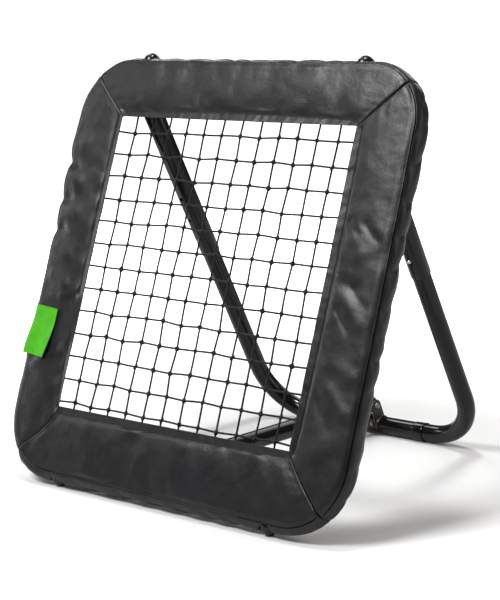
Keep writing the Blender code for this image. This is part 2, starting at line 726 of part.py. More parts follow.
def spring_button(name, side, lower_parent, button_parent, steel):
    """Domed button on a folded leaf spring inside the lower tube."""
    flange_out = LEG_LOWER_BORE_R - SPRING_OFF_WALL
    leaf_front = flange_out - BUTTON_FLANGE_H - REST_GAP
    tip = LEG_UPPER_R + BUTTON_DOME
    profile = [
        (0, tip),
        (BUTTON_R * 0.5, tip - BUTTON_R * 0.14),
        (BUTTON_R * 0.87, tip - BUTTON_R * 0.5),
        (BUTTON_R, tip - BUTTON_R),
        (BUTTON_R, flange_out),
        (BUTTON_FLANGE_R, flange_out),
        (BUTTON_FLANGE_R, flange_out - BUTTON_FLANGE_H),
    ]
    add_object(f"button_{name}", turned(profile, 12), steel, button_parent, rotation=(math.pi / 2, 0, 0))

    outline = []
    for offset in (0.0, SPRING_SHEET):
        edge = [(-leaf_front + offset, BUTTON_FLANGE_R)]
        edge.append((-leaf_front + offset, -BUTTON_FLANGE_R))
        edge += arc(0, -SPRING_DROP, SPRING_BEND_R - offset, -math.pi / 2, -3 * math.pi / 2, 6)
        edge.append((flange_out - offset, -BUTTON_FLANGE_R))
        edge.append((flange_out - offset, BUTTON_FLANGE_R))
        outline += edge if offset == 0.0 else edge[::-1]
    leaf = plate(outline, SPRING_WIDTH)
    add_object(f"button_spring_{name}", leaf, steel, lower_parent, (side * LEG_X, 0, BUTTON_HEIGHT))


def rear_bar(parent, material, zinc, leg_tubes):
    """Middle tube whose ends are belled over the bent tubes, screwed at the back."""
    half = [
        (0.0, LEG_LOWER_R, LEG_LOWER_BORE_R),
        (BELL_START, LEG_LOWER_R, LEG_LOWER_BORE_R),
        (BELL_START + BELL_TAPER, BELL_R, BELL_BORE_R),
        (BELL_END - BELL_LIP_START, BELL_R, BELL_BORE_R),
        (BELL_END - BELL_LIP_WIDTH, BAR_HEIGHT, BELL_BORE_R),
        (BELL_END, BAR_HEIGHT, BELL_BORE_R),
    ]
    stations = []
    for x, outer_r, bore_r in [(-x, o, b) for x, o, b in half[:0:-1]] + half[1:]:
        stations.append((Vector((x, 0, 0)), Vector((1, 0, 0)), outer_r, bore_r))
    tube = hollow_sweep(stations, Vector((0, 1, 0)), LEG_SIDES)
    bar = add_object("rear_bar", tube, material, parent)
    for side, name in ((-1, "left"), (1, "right")):
        seat = Vector((side * BAR_SCREW_X, BELL_R + REST_GAP, 0))
        turn = (-math.pi / 2, 0, 0)
        screw(
            f"bar_screw_{name}", JOINT_SCREW_R, JOINT_SCREW_HEAD_R, JOINT_SCREW_HEAD_H,
            JOINT_SCREW_LENGTH, zinc, parent, seat, turn,
        )
        hole = rod(JOINT_SCREW_R + SCREW_GAP, -JOINT_SCREW_LENGTH, JOINT_SCREW_HEAD_H, 10)
        cutter = add_cutter(f"bar_screw_hole_{name}", hole, parent, seat, turn)
        combine(bar, cutter)
        combine(leg_tubes[side], cutter)
    return bar


def strut(parent, material, plug_material):
    """Straight tube along local Y from the front pivot to the rear one."""
    across = Vector((1, 0, 0))
    tube_start = -STRUT_FRONT_END + STRUT_CAP
    tube_end = strut_length + STRUT_REAR_END - STRUT_CAP
    path = [(Vector((0, y, 0)), Vector((0, 1, 0))) for y in (tube_start, tube_end)]
    bore_r = STRUT_R - TUBE_WALL
    tube = hollow_sweep(tube_stations(path, STRUT_R, bore_r), across, LEG_SIDES)
    tube = add_object("strut_tube", tube, material, parent)
    holes = (("front", 0.0, BOLT_R + SCREW_GAP), ("rear", strut_length, BOLT_R + STRUT_LOOSE))
    for name, y, radius in holes:
        hole = rod(radius, -1.2 * STRUT_R, 1.2 * STRUT_R)
        combine(tube, add_cutter(f"strut_hole_{name}", hole, parent, (0, y, 0), (0, math.pi / 2, 0)))
    for name, y, turn in (("front", tube_start, math.pi / 2), ("rear", tube_end, -math.pi / 2)):
        profile = [
            (bore_r - PLUG_GAP, -STRUT_CAP_STEM),
            (bore_r - PLUG_GAP, REST_GAP),
            (STRUT_R, REST_GAP),
            (STRUT_R, STRUT_CAP * 0.5),
            (STRUT_R - STRUT_CAP * 0.5, STRUT_CAP),
        ]
        cap = turned(profile, LEG_SIDES)
        add_object(f"strut_cap_{name}", cap, plug_material, parent, (0, y, 0), (turn, 0, 0))


clear_scene()
paint = make_material("black_powder_coat", (0.012, 0.012, 0.013), 0.32)
cloth = make_material("charcoal_coated_cloth", (0.026, 0.026, 0.030), 0.52)
cord_black = make_material("black_knotted_cord", (0.006, 0.006, 0.007), 0.85)
elastic = make_material("black_elastic_cord", (0.010, 0.010, 0.010), 0.80)
rubber = make_material("black_rubber", (0.012, 0.012, 0.012), 0.45)
green = make_material("green_woven_label", (0.114, 0.485, 0.030), 0.60)
nylon = make_material("black_nylon", (0.016, 0.016, 0.016), 0.50)
olive_zinc = make_material("olive_zinc_plate", (0.085, 0.082, 0.068), 0.45, 0.8)
zinc_steel = make_material("zinc_plated_steel", (0.30, 0.30, 0.30), 0.35, 1.0)
spring_steel = make_material("bright_spring_steel", (0.62, 0.62, 0.60), 0.22, 1.0)

frame_axes = add_empty("front_frame_axes", frame_centre, -FRAME_TILT)
leg_axes = add_empty("leg_pivot_axes", leg_pivot, LEG_LEAN)
slide_axes = add_empty("leg_slide_axes", bar_centre, LEG_LEAN)
strut_axes = add_empty("strut_pivot_axes", strut_front, strut_angle)

frame_upper, frame_lower = frame_tubes(frame_axes, paint)
frame_joint_screws(frame_axes, zinc_steel, frame_upper, frame_lower)
net(frame_axes, cord_black)
laced_sides = (
    ("top", NET_CELLS / 2 * NET_PITCH_Z, NET_PITCH_X, NET_SHIFT_X, 0.0),
    ("right", NET_CELLS / 2 * NET_PITCH_X + NET_SHIFT_X, NET_PITCH_Z, 0.0, 0.0),
    ("bottom", NET_CELLS / 2 * NET_PITCH_Z, NET_PITCH_X, -NET_SHIFT_X, SADDLE_WIDTH / 2 + 2 * LACE_R),
    ("left", NET_CELLS / 2 * NET_PITCH_X - NET_SHIFT_X, NET_PITCH_Z, 0.0, 0.0),
)
for i, (side_name, border, pitch, shift, keep_clear) in enumerate(laced_sides):
    lacing(f"lacing_{side_name}", i, border, pitch, shift, keep_clear, frame_axes, elastic)
panels = cover(frame_axes, cloth)
label_tab(frame_axes, green)
feet(frame_axes, rubber, panels)

for side, side_name in ((-1, "left"), (1, "right")):
    leg_bracket = bracket(
        f"leg_bracket_{side_name}", FRAME_TUBE_R, frame_axes,
        (side * LEG_X, 0, AXIS), math.pi, olive_zinc,
    )
    bracket_screws(
        f"leg_bracket_screw_{side_name}", leg_bracket, frame_upper, FRAME_TUBE_R,
        -FRAME_SCREW_TURN, zinc_steel, frame_axes,
    )
strut_bracket = bracket("strut_bracket_front", FRAME_TUBE_R, frame_axes, (0, 0, -AXIS), 0.0, olive_zinc)
bracket_screws(
    "strut_bracket_screw", strut_bracket, frame_lower, FRAME_TUBE_R,
    FRAME_SCREW_TURN, zinc_steel, frame_axes,
)
pivot_bolt("strut_front", frame_axes, (0, 0, -PIVOT_OUT), 1, zinc_steel)

lower_tubes = {}
for side, side_name in ((-1, "left"), (1, "right")):
    upper_leg(side_name, side, leg_axes, frame_axes, paint, nylon, zinc_steel)
    lower_tubes[side] = lower_leg(side_name, side, slide_axes, paint)
    button_axes = add_empty(f"button_axes_{side_name}", (side * LEG_X, 0, BUTTON_HEIGHT), 0.0)
    button_axes.parent = slide_axes
    spring_button(side_name, side, slide_axes, button_axes, spring_steel)

bar = rear_bar(slide_axes, paint, zinc_steel, lower_tubes)
rear_turn = REAR_BRACKET_LEAN - LEG_LEAN
rear_bracket = bracket("strut_bracket_rear", LEG_LOWER_R, slide_axes, (0, 0, 0), rear_turn, olive_zinc)
bracket_screws(
    "rear_bracket_screw", rear_bracket, bar, LEG_LOWER_R,
    REAR_SCREW_TURN, zinc_steel, slide_axes,
)
rear_pivot = PIVOT_REACH * Vector((0, -math.sin(rear_turn), math.cos(rear_turn)))
pivot_bolt("strut_rear", slide_axes, rear_pivot, 1, zinc_steel)
strut(strut_axes, paint, nylon)
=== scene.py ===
import math
import bpy
from mathutils import Matrix, Vector, noise
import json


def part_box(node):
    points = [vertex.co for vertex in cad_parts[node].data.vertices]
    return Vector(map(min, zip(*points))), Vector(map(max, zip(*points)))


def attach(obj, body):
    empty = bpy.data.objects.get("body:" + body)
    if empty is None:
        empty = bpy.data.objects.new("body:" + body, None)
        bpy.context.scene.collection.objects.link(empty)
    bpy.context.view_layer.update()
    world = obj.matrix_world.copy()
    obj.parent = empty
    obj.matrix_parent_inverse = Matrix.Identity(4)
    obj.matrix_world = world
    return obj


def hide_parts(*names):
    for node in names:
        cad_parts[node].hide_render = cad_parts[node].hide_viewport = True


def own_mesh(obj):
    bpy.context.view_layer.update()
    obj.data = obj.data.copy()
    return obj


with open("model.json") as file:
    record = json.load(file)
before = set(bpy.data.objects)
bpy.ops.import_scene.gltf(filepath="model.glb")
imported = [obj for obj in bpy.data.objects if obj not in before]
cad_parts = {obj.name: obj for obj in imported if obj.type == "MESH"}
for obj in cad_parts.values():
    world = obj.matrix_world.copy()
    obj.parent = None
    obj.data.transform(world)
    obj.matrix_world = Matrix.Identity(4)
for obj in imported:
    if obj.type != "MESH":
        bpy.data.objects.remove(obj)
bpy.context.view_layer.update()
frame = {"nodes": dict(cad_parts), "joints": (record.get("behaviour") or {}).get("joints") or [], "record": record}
nodes = frame["nodes"]
joints = {joint["name"]: joint for joint in frame["joints"]}
quarterTurn = math.pi / 2
print("frame loaded:", len(nodes), "nodes")

# Directions and centres come from the joints
legPivot = Vector(joints["leg_hinge"]["pos_m"])
strutPivot = Vector(joints["strut_hinge"]["pos_m"])
frameUp = (legPivot - strutPivot).normalized()
frameBack = frameUp.cross(Vector((1, 0, 0)))
legUp = Vector(joints["leg_slide"]["axis"])
legBack = Vector(joints["button_press_left"]["axis"])


def boxCentre(name):
    low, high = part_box(name)
    return (low + high) / 2


def placeMatrix(origin, back, up):
    # local X stays X, local Y points back and local Z up
    turn = Matrix((Vector((1, 0, 0)), back, up)).transposed()
    return Matrix.Translation(origin) @ turn.to_4x4()


framePlace = placeMatrix((legPivot + strutPivot) / 2, frameBack, frameUp)
barCentre = boxCentre("rear_bar")
legPlace = placeMatrix(barCentre, legBack, legUp)
strutEnd = boxCentre("strut_cap_rear")
strutAlong = (strutEnd - strutPivot).normalized()
strutPlace = placeMatrix(strutPivot, strutAlong, Vector((1, 0, 0)).cross(strutAlong))

# Sizes that several pieces share, in metres
tube = {
    "axis": 0.401,            # net's centre to the frame tube's axis
    "radius": 0.019,
    "bend": 0.100,
    "wall": 0.0012,
    "legX": 0.2703,
    "upperRadius": 0.020,
    "lowerRadius": 0.018,
    "lowerBend": 0.115,
    "footX": 0.268,
    "footRadius": 0.017,
}


def deselect():
    bpy.ops.object.select_all(action="DESELECT")


def useOnly(piece):
    deselect()
    piece.select_set(True)
    bpy.context.view_layer.objects.active = piece


def addObject(name, data):
    piece = bpy.data.objects.new(name, data)
    bpy.context.scene.collection.objects.link(piece)
    return piece


def newest(name):
    piece = bpy.context.active_object
    piece.name = name
    piece.data.name = name
    return piece


def applyModifiers(piece):
    useOnly(piece)
    for modifier in list(piece.modifiers):
        bpy.ops.object.modifier_apply(modifier=modifier.name)


def editAll(piece):
    useOnly(piece)
    bpy.ops.object.mode_set(mode="EDIT")
    bpy.ops.mesh.select_all(action="SELECT")


def cleanMesh(piece):
    editAll(piece)
    bpy.ops.mesh.remove_doubles(threshold=0.00002)
    bpy.ops.mesh.normals_make_consistent(inside=False)
    bpy.ops.object.mode_set(mode="OBJECT")


def bevelEdges(piece, width):
    # every edge that turns by more than 50 degrees gets two small faces
    bevel = piece.modifiers.new("bevel", "BEVEL")
    bevel.width = width
    bevel.segments = 2
    bevel.limit_method = "ANGLE"
    bevel.angle_limit = math.radians(50)
    applyModifiers(piece)


def cutWith(piece, cutter):
    boolean = piece.modifiers.new("cut", "BOOLEAN")
    boolean.operation = "DIFFERENCE"
    boolean.solver = "EXACT"
    boolean.object = cutter
    applyModifiers(piece)
    bpy.data.objects.remove(cutter, do_unlink=True)


def thicken(piece, thickness, offset=-1):
    shell = piece.modifiers.new("wall", "SOLIDIFY")
    shell.thickness = thickness
    shell.offset = offset
    applyModifiers(piece)


def finishPiece(piece, body, material, replaced=(), place=None, smoothAngle=32):
    # puts the piece's place into its mesh and hands it to the frame
    if place is not None:
        piece.matrix_world = place @ piece.matrix_world
    useOnly(piece)
    bpy.ops.object.transform_apply(location=True, rotation=True, scale=True)
    bpy.ops.object.shade_smooth_by_angle(angle=math.radians(smoothAngle))
    piece.data.materials.clear()
    piece.data.materials.append(material)
    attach(piece, body)
    if replaced:
        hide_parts(*replaced)
    return piece


def cordCurve(name, routes, radius, resolution=2):
    curve = bpy.data.curves.new(name, "CURVE")
    curve.dimensions = "3D"
    curve.bevel_depth = radius
    curve.bevel_resolution = resolution
    curve.use_fill_caps = True
    for route in routes:
        spline = curve.splines.new("POLY")
        spline.points.add(len(route) - 1)
        for point, place in zip(spline.points, route):
            point.co = (*place, 1)
    useOnly(addObject(name, curve))
    bpy.ops.object.convert(target="MESH")
    return bpy.context.active_object


slotOf = {part["node"]: part["material_slot"] for part in frame["record"]["subparts"]}
bodies = frame["record"]["behaviour"]["bodies"]
bodyOf = {node: body for body, held in bodies.items() for node in held}


def linearColour(hexColour):
    channels = [int(hexColour[i:i + 2], 16) / 255 for i in (1, 3, 5)]
    return [c / 12.92 if c <= 0.04045 else ((c + 0.055) / 1.055) ** 2.4 for c in channels] + [1.0]


def feedNode(material, node, inputs):
    # inputs holds values, or sockets to link from
    for name, value in inputs.items():
        if isinstance(value, bpy.types.NodeSocket):
            material.node_tree.links.new(value, node.inputs[name])
        else:
            node.inputs[name].default_value = value


def addNode(material, kind, inputs=None, **settings):
    node = material.node_tree.nodes.new(kind)
    for name, value in settings.items():
        setattr(node, name, value)
    feedNode(material, node, inputs or {})
    return node


def newMaterial(name, hexColour, roughness, metallic=0.0, ior=1.5):
    material = bpy.data.materials.new(name)
    material.use_nodes = True
    shader = material.node_tree.nodes["Principled BSDF"]
    feedNode(material, shader, {
        "Base Color": linearColour(hexColour), "Roughness": roughness, "Metallic": metallic,
    })
    if metallic < 0.5:
        shader.inputs["IOR"].default_value = ior
    return material, shader


def noiseBump(material, coordinates, size, height, detail=2.0):
    # size is the width of one lump and height its depth, both in metres
    grain = addNode(
        material, "ShaderNodeTexNoise",
        {"Vector": coordinates, "Scale": 1 / size, "Detail": detail, "Roughness": 0.5},
    )
    inputs = {"Height": grain.outputs["Fac"], "Distance": height, "Strength": 1.0}
    return addNode(material, "ShaderNodeBump", inputs).outputs["Normal"]


def colourSpread(material, coordinates, size, darkHex, lightHex):
    # two close shades, mixed in patches of the given width
    grain = addNode(
        material, "ShaderNodeTexNoise",
        {"Vector": coordinates, "Scale": 1 / size, "Detail": 3.0, "Roughness": 0.55},
    )
    ramp = addNode(material, "ShaderNodeValToRGB", {"Fac": grain.outputs["Fac"]})
    for stop, place, shade in zip(ramp.color_ramp.elements, (0.35, 0.65), (darkHex, lightHex)):
        stop.position = place
        stop.color = linearColour(shade)
    return ramp.outputs["Color"]


def roughnessSpread(material, coordinates, size, low, high):
    grain = addNode(
        material, "ShaderNodeTexNoise",
        {"Vector": coordinates, "Scale": 1 / size, "Detail": 3.0, "Roughness": 0.5},
    )
    spread = addNode(material, "ShaderNodeMapRange", {
        "Value": grain.outputs["Fac"], "From Min": 0.3, "From Max": 0.7,
        "To Min": low, "To Max": high,
    })
    return spread.outputs["Result"]


def grainedFinish(name, hexColour, roughness, grain, patches, gloss=None, level=0.5, **base):
    # a solid finish: fine grain, patches of two shades and, with gloss, an uneven shine
    material, shader = newMaterial(name, hexColour, roughness, **base)
    around = addNode(material, "ShaderNodeTexCoord").outputs["Object"]
    feedNode(material, shader, {
        "Normal": noiseBump(material, around, *grain),
        "Base Color": colourSpread(material, around, *patches),
        "Specular IOR Level": level,
    })
    if gloss:
        feedNode(material, shader, {"Roughness": roughnessSpread(material, around, *gloss)})
    return material


def coatedPolyester():
    # PVC-coated 600D polyester: a satin skin that lets a fine weave through
    material, shader = newMaterial("coatedPolyester", "#17171a", 0.35)
    place = addNode(material, "ShaderNodeUVMap", uv_map="UVMap").outputs["UV"]
    thread = 0.0011            # the real 0.5 mm threads, drawn twice as wide so that they show
    weave = []
    for direction in ("X", "Y"):
        weave.append(addNode(
            material, "ShaderNodeTexWave",
            {"Vector": place, "Scale": 1 / (thread * math.pi), "Distortion": 0.4, "Detail": 1.0,
             "Detail Scale": 2.0},
            wave_type="BANDS", bands_direction=direction, wave_profile="SIN",
        ).outputs["Fac"])
    threads = addNode(material, "ShaderNodeMath", {0: weave[0], 1: weave[1]}, operation="MAXIMUM")
    around = addNode(material, "ShaderNodeTexCoord").outputs["Object"]
    # slubs: thicker stretches of thread, 15 to 25 mm long, show through the coating
    stretched = addNode(material, "ShaderNodeMapping", {"Vector": place, "Scale": (55, 560, 1)})
    slubs = addNode(
        material, "ShaderNodeTexNoise",
        {"Vector": stretched.outputs["Vector"], "Scale": 1.0, "Detail": 2.0},
    )
    # crumples, slubs and threads, one over the other
    normal = noiseBump(material, around, 0.030, 0.0012, 3.0)
    for height, distance, strength in (
        (slubs.outputs["Fac"], 0.00016, 1.0), (threads.outputs["Value"], 0.00006, 0.7),
    ):
        normal = addNode(material, "ShaderNodeBump", {
            "Height": height, "Distance": distance, "Strength": strength, "Normal": normal,
        }).outputs["Normal"]
    feedNode(material, shader, {
        "Normal": normal,
        "Base Color": colourSpread(material, around, 0.06, "#131316", "#1b1b1e"),
        "Roughness": roughnessSpread(material, around, 0.05, 0.32, 0.41),
    })
    return material


def polyesterCord(name, dark, light):
    # braided polyester: matt, with slanting strands
    material, shader = newMaterial(name, dark, 0.8)
    around = addNode(material, "ShaderNodeTexCoord").outputs["Object"]
    strands = addNode(
        material, "ShaderNodeTexWave",
        {"Vector": around, "Scale": 130.0, "Distortion": 1.5, "Detail": 2.0},
        wave_type="BANDS", bands_direction="DIAGONAL",
    )
    bump = addNode(
        material, "ShaderNodeBump",
        {"Height": strands.outputs["Fac"], "Distance": 0.00025, "Strength": 0.8},
    )
    feedNode(material, shader, {
        "Normal": bump.outputs["Normal"],
        "Base Color": colourSpread(material, around, 0.01, dark, light),
        "Sheen Weight": 0.06,
    })
    return material


def platedSteel(name, dark, light, roughness, grainSize):
    # plated steel: cloudy passivation over a rolled surface
    return grainedFinish(
        name, dark, roughness, (grainSize, 0.00002), (0.008, dark, light),
        gloss=(0.006, roughness - 0.06, roughness + 0.08), metallic=1.0,
    )


def wovenLabel():
    # dense woven polyester label: even green, fine ribs across
    material, shader = newMaterial("wovenLabel", "#44a80e", 0.6)
    place = addNode(material, "ShaderNodeUVMap", uv_map="UVMap").outputs["UV"]
    rib = 0.0009
    ribs = addNode(
        material, "ShaderNodeTexWave",
        {"Vector": place, "Scale": 1 / (rib * math.pi), "Distortion": 0.3, "Detail": 1.0},
        wave_type="BANDS", bands_direction="Y",
    )
    bump = addNode(
        material, "ShaderNodeBump",
        {"Height": ribs.outputs["Fac"], "Distance": 0.00005, "Strength": 0.8},
    )
    around = addNode(material, "ShaderNodeTexCoord").outputs["Object"]
    feedNode(material, shader, {
        "Normal": bump.outputs["Normal"],
        "Base Color": colourSpread(material, around, 0.02, "#40a30c", "#4cb012"),
        "Specular IOR Level": 0.2,
    })
    return material


cloth = coatedPolyester()
# powder-coated steel: gloss black with a faint orange peel
powderCoat = grainedFinish(
    "blackPowderCoat", "#0f0d0c", 0.16, (0.0022, 0.00003), (0.05, "#0c0b0a", "#14110f"),
    gloss=(0.03, 0.13, 0.2), level=0.42,
)
netCord = polyesterCord("knottedPolyesterCord", "#060607", "#0d0d0e")
laceCord = polyesterCord("elasticBraid", "#101010", "#1a1a1a")
# moulded rubber: soft gloss, dust in the grain
rubber = grainedFinish(
    "mouldedRubber", "#090909", 0.26, (0.0012, 0.00004), (0.012, "#070707", "#0e0e0d"),
    gloss=(0.006, 0.22, 0.32),
)
# injection-moulded nylon with a spark-eroded grain
nylon = grainedFinish(
    "mouldedNylon", "#19191a", 0.48, (0.0008, 0.00003), (0.02, "#161617", "#1e1e1f"), ior=1.53,
)
oliveZinc = platedSteel("olivePassivatedZinc", "#4a473d", "#5a574c", 0.42, 0.0015)
zincSteel = platedSteel("zincPlatedSteel", "#85898c", "#9da1a4", 0.34, 0.0010)
springSteel = platedSteel("brightSpringSteel", "#dcdcd8", "#ececea", 0.34, 0.0010)
labelCloth = wovenLabel()
# painted shade: a near-black matt cord for the seams' grooves, so that they read as dark shadowed lines
seamShadePaint = grainedFinish(
    "blackBindingTape", "#040404", 0.95, (0.0012, 0.0001), (0.004, "#030303", "#060606"), level=0.1,
)
sewingThread = polyesterCord("bondedNylonThread", "#1c1c1f", "#29292c")
print("materials made")

# The cover: four mitred panels of coated cloth. Lengths are in metres, angles in degrees
cover = {
    "radius": 0.0235,          # outside of the cloth, round the tube
    "squareness": 2.6,         # 2 is a round wrap, more is boxier
    "thickness": 0.0011,
    "hemDepth": 0.0222,        # hem's face, in front of the net
    "strip": 0.0158,           # hem strip, edge to stitch line
    "stripDent": 0.0038,       # the stitch line is pulled in
    "stripRise": 0.0004,
    "edgeRoll": 0.0006,        # the hem's edge rolls back over its last millimetre
    "edgeWidth": 0.001,
    "stitchDent": 0.0009,
    "stitchWidth": 0.0007,
    "stitchPull": 0.0022,      # uneven pull of the stitches on the band
    "pullReach": 0.020,
    "dentReach": 0.007,
    "foldsFrom": 0.016,        # folds reach their full height this far from the stitches
    "bandRows": 0.023,         # rows closer to the hem stand at fixed distances
    "crown": 0.0020,           # cloth between the stitch line and the outer seam
    "flap": 0.031,
    "seamDepth": 0.0026,
    "seamWidth": 1.5,
    "seamLip": 0.0007,         # the band's edge stands up beside the seam
    "lipPlace": 3.4,
    "lipWidth": 2.2,
    "gather": 0.0034,          # how far the side cloth puffs out between gathers
    "gatherWander": 0.9,       # how unlike the gathers' lengths are
    "gatherLean": 0.35,
    "gatherSharpness": 0.75,   # below 1 the pinches are narrower than the puffs
    "mitreDip": 0.0030,
    "mitreWidth": 0.0013,
    "mitreBowReach": 0.06,
    "pucker": 0.0016,          # puckers run away from the mitre
    "puckerReach": 0.022,
    "ridge": 0.0002,           # beside the mitre
    "ridgePlace": 0.0060,
    "ridgeWidth": 0.0034,
    "waves": (60, 26),         # widths of the band's slow waves, in millimetres
    "waveHeight": 1.25,        # in millimetres too
    "columnStep": 0.0034,
    "mitreColumns": (0, 0.0004, 0.0009, 0.0015, 0.0023, 0.0036, 0.0056, 0.0086),
    "footPlay": 0.0008,        # round each foot
    "footEdge": 0.009,         # the cloth this close to a foot is drawn to its hole
    "floorGap": 0.0006,
}
# Each side: hem from the net's centre, angle of the outer seam at both ends, hang of the side
# cloth, sideways bow of the mitre at its end, the gathers' strength, pitch and slant, the area of
# the flat cut and the halves of the frame tube that it rests on
coverSides = (
    {
        "name": "top", "hem": 0.3005, "seam": (-54, -52), "hang": 0.0, "bow": 0.0,
        "puff": 1.0, "gather": 0.052, "slant": 0.0,
        "area": 0.155, "tubes": ("upper",),
    },
    {
        "name": "right", "hem": 0.2935, "seam": (-50, -38), "hang": 0.0008, "bow": 0.0030,
        "puff": 1.25, "gather": 0.058, "slant": 0.2,
        "area": 0.164, "tubes": ("upper", "lower"),
    },
    {
        "name": "bottom", "hem": 0.2854, "seam": (-48, -66), "hang": 0.0050, "bow": -0.0095,
        "puff": 1.5, "gather": 0.080, "slant": 0.8,
        "area": 0.172, "tubes": ("lower",),
    },
    {
        "name": "left", "hem": 0.2935, "seam": (-52, -52), "hang": 0.0, "bow": 0.0,
        "puff": 1.0, "gather": 0.052, "slant": 0.0,
        "area": 0.161, "tubes": ("upper", "lower"),
    },
)
straight = tube["axis"] - tube["bend"]
halfLength = straight + tube["bend"] * math.pi / 4

# The label tab, sewn on the left panel
label = {
    "side": 3,                 # place in coverSides
    "width": 0.072,
    "height": 0.100,
    "inner": 0.3560,           # its free edge, from the net's centre
    "middle": -0.1452,
    "turn": 4.6,
    "cloth": 0.0009,
    "lift": 0.0065,            # how far its lower corner stands off
    "slack": 0.0075,           # how far its fold stands off the outer edge
    "edgeLift": 0.0008,
    "rest": 0.0009,            # over the cover's cloth
    "ripple": 0.0005,
    "stitchDent": 0.0003,
    "grid": (49, 61),
    "bulge": 0.0030,           # of its free edge, in the middle
    "stitchInset": 0.0032,
    "flatCloth": (0.046, 0.072),  # the panel is flat up to the first and free from the second
}

# Soft folds of the front band, as (start, end, width, height) in millimetres across and up
# from the net's centre; a height below 0 is a hollow
folds = [
    ((338, 112), (362, 76), 17, 1.9),
    ((322, 130), (348, 106), 7, -1.5),
    ((360, 124), (392, 98), 9, -1.4),
    ((318, 22), (366, 12), 14, -2.0),
    ((346, -10), (386, -48), 14, 1.8),
    ((334, -30), (366, -62), 8, -1.2),
    ((360, 6), (394, -20), 9, -0.8),
    ((312, 60), (326, -40), 16, 1.2),
    ((352, -122), (398, -142), 15, 1.4),
    ((352, -172), (392, -206), 13, 2.2),
    ((336, -196), (368, -236), 13, -1.6),
    ((376, 190), (390, 240), 22, 1.2),
    ((320, 222), (334, 170), 14, -1.2),
    ((-424, 204), (-392, 198), 9, -4.5),
    ((-402, 234), (-384, 238), 20, 3.9),
    ((-398, 168), (-380, 160), 20, 4.2),
    ((-424, 124), (-392, 128), 11, -3.6),
    ((-398, 94), (-368, 100), 18, 3.6),
    ((-424, 60), (-394, 66), 11, -4.2),
    ((-396, 22), (-366, 14), 20, 3.4),
    ((-392, -28), (-350, -46), 13, 2.5),
    ((-350, -78), (-318, -126), 12, 3.1),
    ((-344, -120), (-316, -180), 11, 2.2),
    ((-380, -215), (-335, -250), 20, 2.0),
    ((-250, 330), (-240, 395), 30, 1.2),
    ((-120, 330), (-128, 400), 24, -1.2),
    ((-40, 322), (-30, 395), 26, 1.4),
    ((70, 325), (78, 385), 22, -1.4),
    ((150, 325), (160, 395), 28, 1.3),
    ((235, 325), (250, 380), 18, -1.2),
    ((-210, -330), (-190, -395), 34, 1.6),
    ((-90, -330), (-80, -395), 26, -1.2),
    ((60, -322), (80, -395), 36, 1.4),
    ((190, -322), (215, -370), 26, -1.2),
    ((290, -322), (318, -362), 16, 2.0),
]


def nearLine(x, z, start, end):
    # squared distance to a line, in millimetres
    dx, dz = end[0] - start[0], end[1] - start[1]
    share = ((x - start[0]) * dx + (z - start[1]) * dz) / (dx * dx + dz * dz)
    share = min(1.0, max(0.0, share))
    return (x - start[0] - share * dx) ** 2 + (z - start[1] - share * dz) ** 2


def foldHeight(side, point):
    # across and up, in millimetres, once the panel is turned to its side
    quarter = side * quarterTurn
    x = (point.x * math.cos(quarter) + point.z * math.sin(quarter)) * 1000
    z = (-point.x * math.sin(quarter) + point.z * math.cos(quarter)) * 1000
    height = 0.0
    for start, end, width, rise in folds:
        far = nearLine(x, z, start, end) / (width * width)
        if far < 6:
            height += rise * math.exp(-far)
    broad, narrow = cover["waves"]
    wave = noise.noise(Vector((x / broad, z / broad, 3.1)))
    wave += 0.5 * noise.noise(Vector((x / narrow, z / narrow, 7.7)))
    return (height + cover["waveHeight"] * wave) / 1000


def smoothStep(low, high, value):
    share = min(1.0, max(0.0, (value - low) / (high - low)))
    return share * share * (3 - 2 * share)


def bump(value, width):
    # 1 in the middle, close to 0 from twice the width
    return math.exp(-(value / width) ** 2)


def gatherHeight(along, angle, side):
    # side cloth puffs out between pinches of unlike length
    own = coverSides[side]
    wander = cover["gatherWander"] * noise.noise(Vector((along * 7, side * 3.7, 0.4)))
    place = along / own["gather"] + wander
    uneven = cover["gatherLean"] * noise.noise(Vector((along * 9, side * 5.1, 2.2)))
    lean = (uneven + own["slant"]) * angle
    puff = abs(math.sin(math.pi * (place + lean))) ** cover["gatherSharpness"]
    size = 0.65 + 0.7 * noise.noise(Vector((along * 11, side, 9.3)))
    fine = 0.18 * noise.noise(Vector((along * 60, angle * 2.2, side)))
    return cover["gather"] * (size * (puff - 0.55) + fine)


# Rows run across the cloth, from the hem's edge to the end of the back flap: a distance from the
# edge, a share of the way on to the tube's front, a share on to the seam, degrees round the seam,
# a share on to the tube's back and a share of the flap
hemPlaces = (0, 0.8, 2, 5, 8.5, 12, 14, 15.2, 16, 16.8, 18, 20, 23)  # millimetres
fineRows = [("band", place / 1000) for place in hemPlaces]
fineRows += [("share", i / 22) for i in range(1, 23)]
fineRows += [("before", share) for share in (0.14, 0.28, 0.42, 0.56, 0.68, 0.78, 0.86, 0.91)]
fineRows += [("seam", degrees) for degrees in (-3, -1.7, -0.8, 0, 0.8, 1.7, 3)]
fineRows += [("after", i / 27) for i in range(1, 28)]
fineRows += [("flap", i / 8) for i in range(1, 9)]
clothRows = [("band", place / 1000) for place in (0, 8, 15.8)]
clothRows += [("share", i / 9) for i in range(1, 10)]
clothRows += [("before", 0.3), ("before", 0.65), ("seam", 0)]
clothRows += [("after", i / 12) for i in range(1, 13)] + [("flap", i / 4) for i in range(1, 5)]


def wrapReach(angle):
    # how far the boxy wrap stands from the tube's axis, as a share of its radius
    power = cover["squareness"]
    return (abs(math.cos(angle)) ** power + abs(math.sin(angle)) ** power) ** (-1 / power)


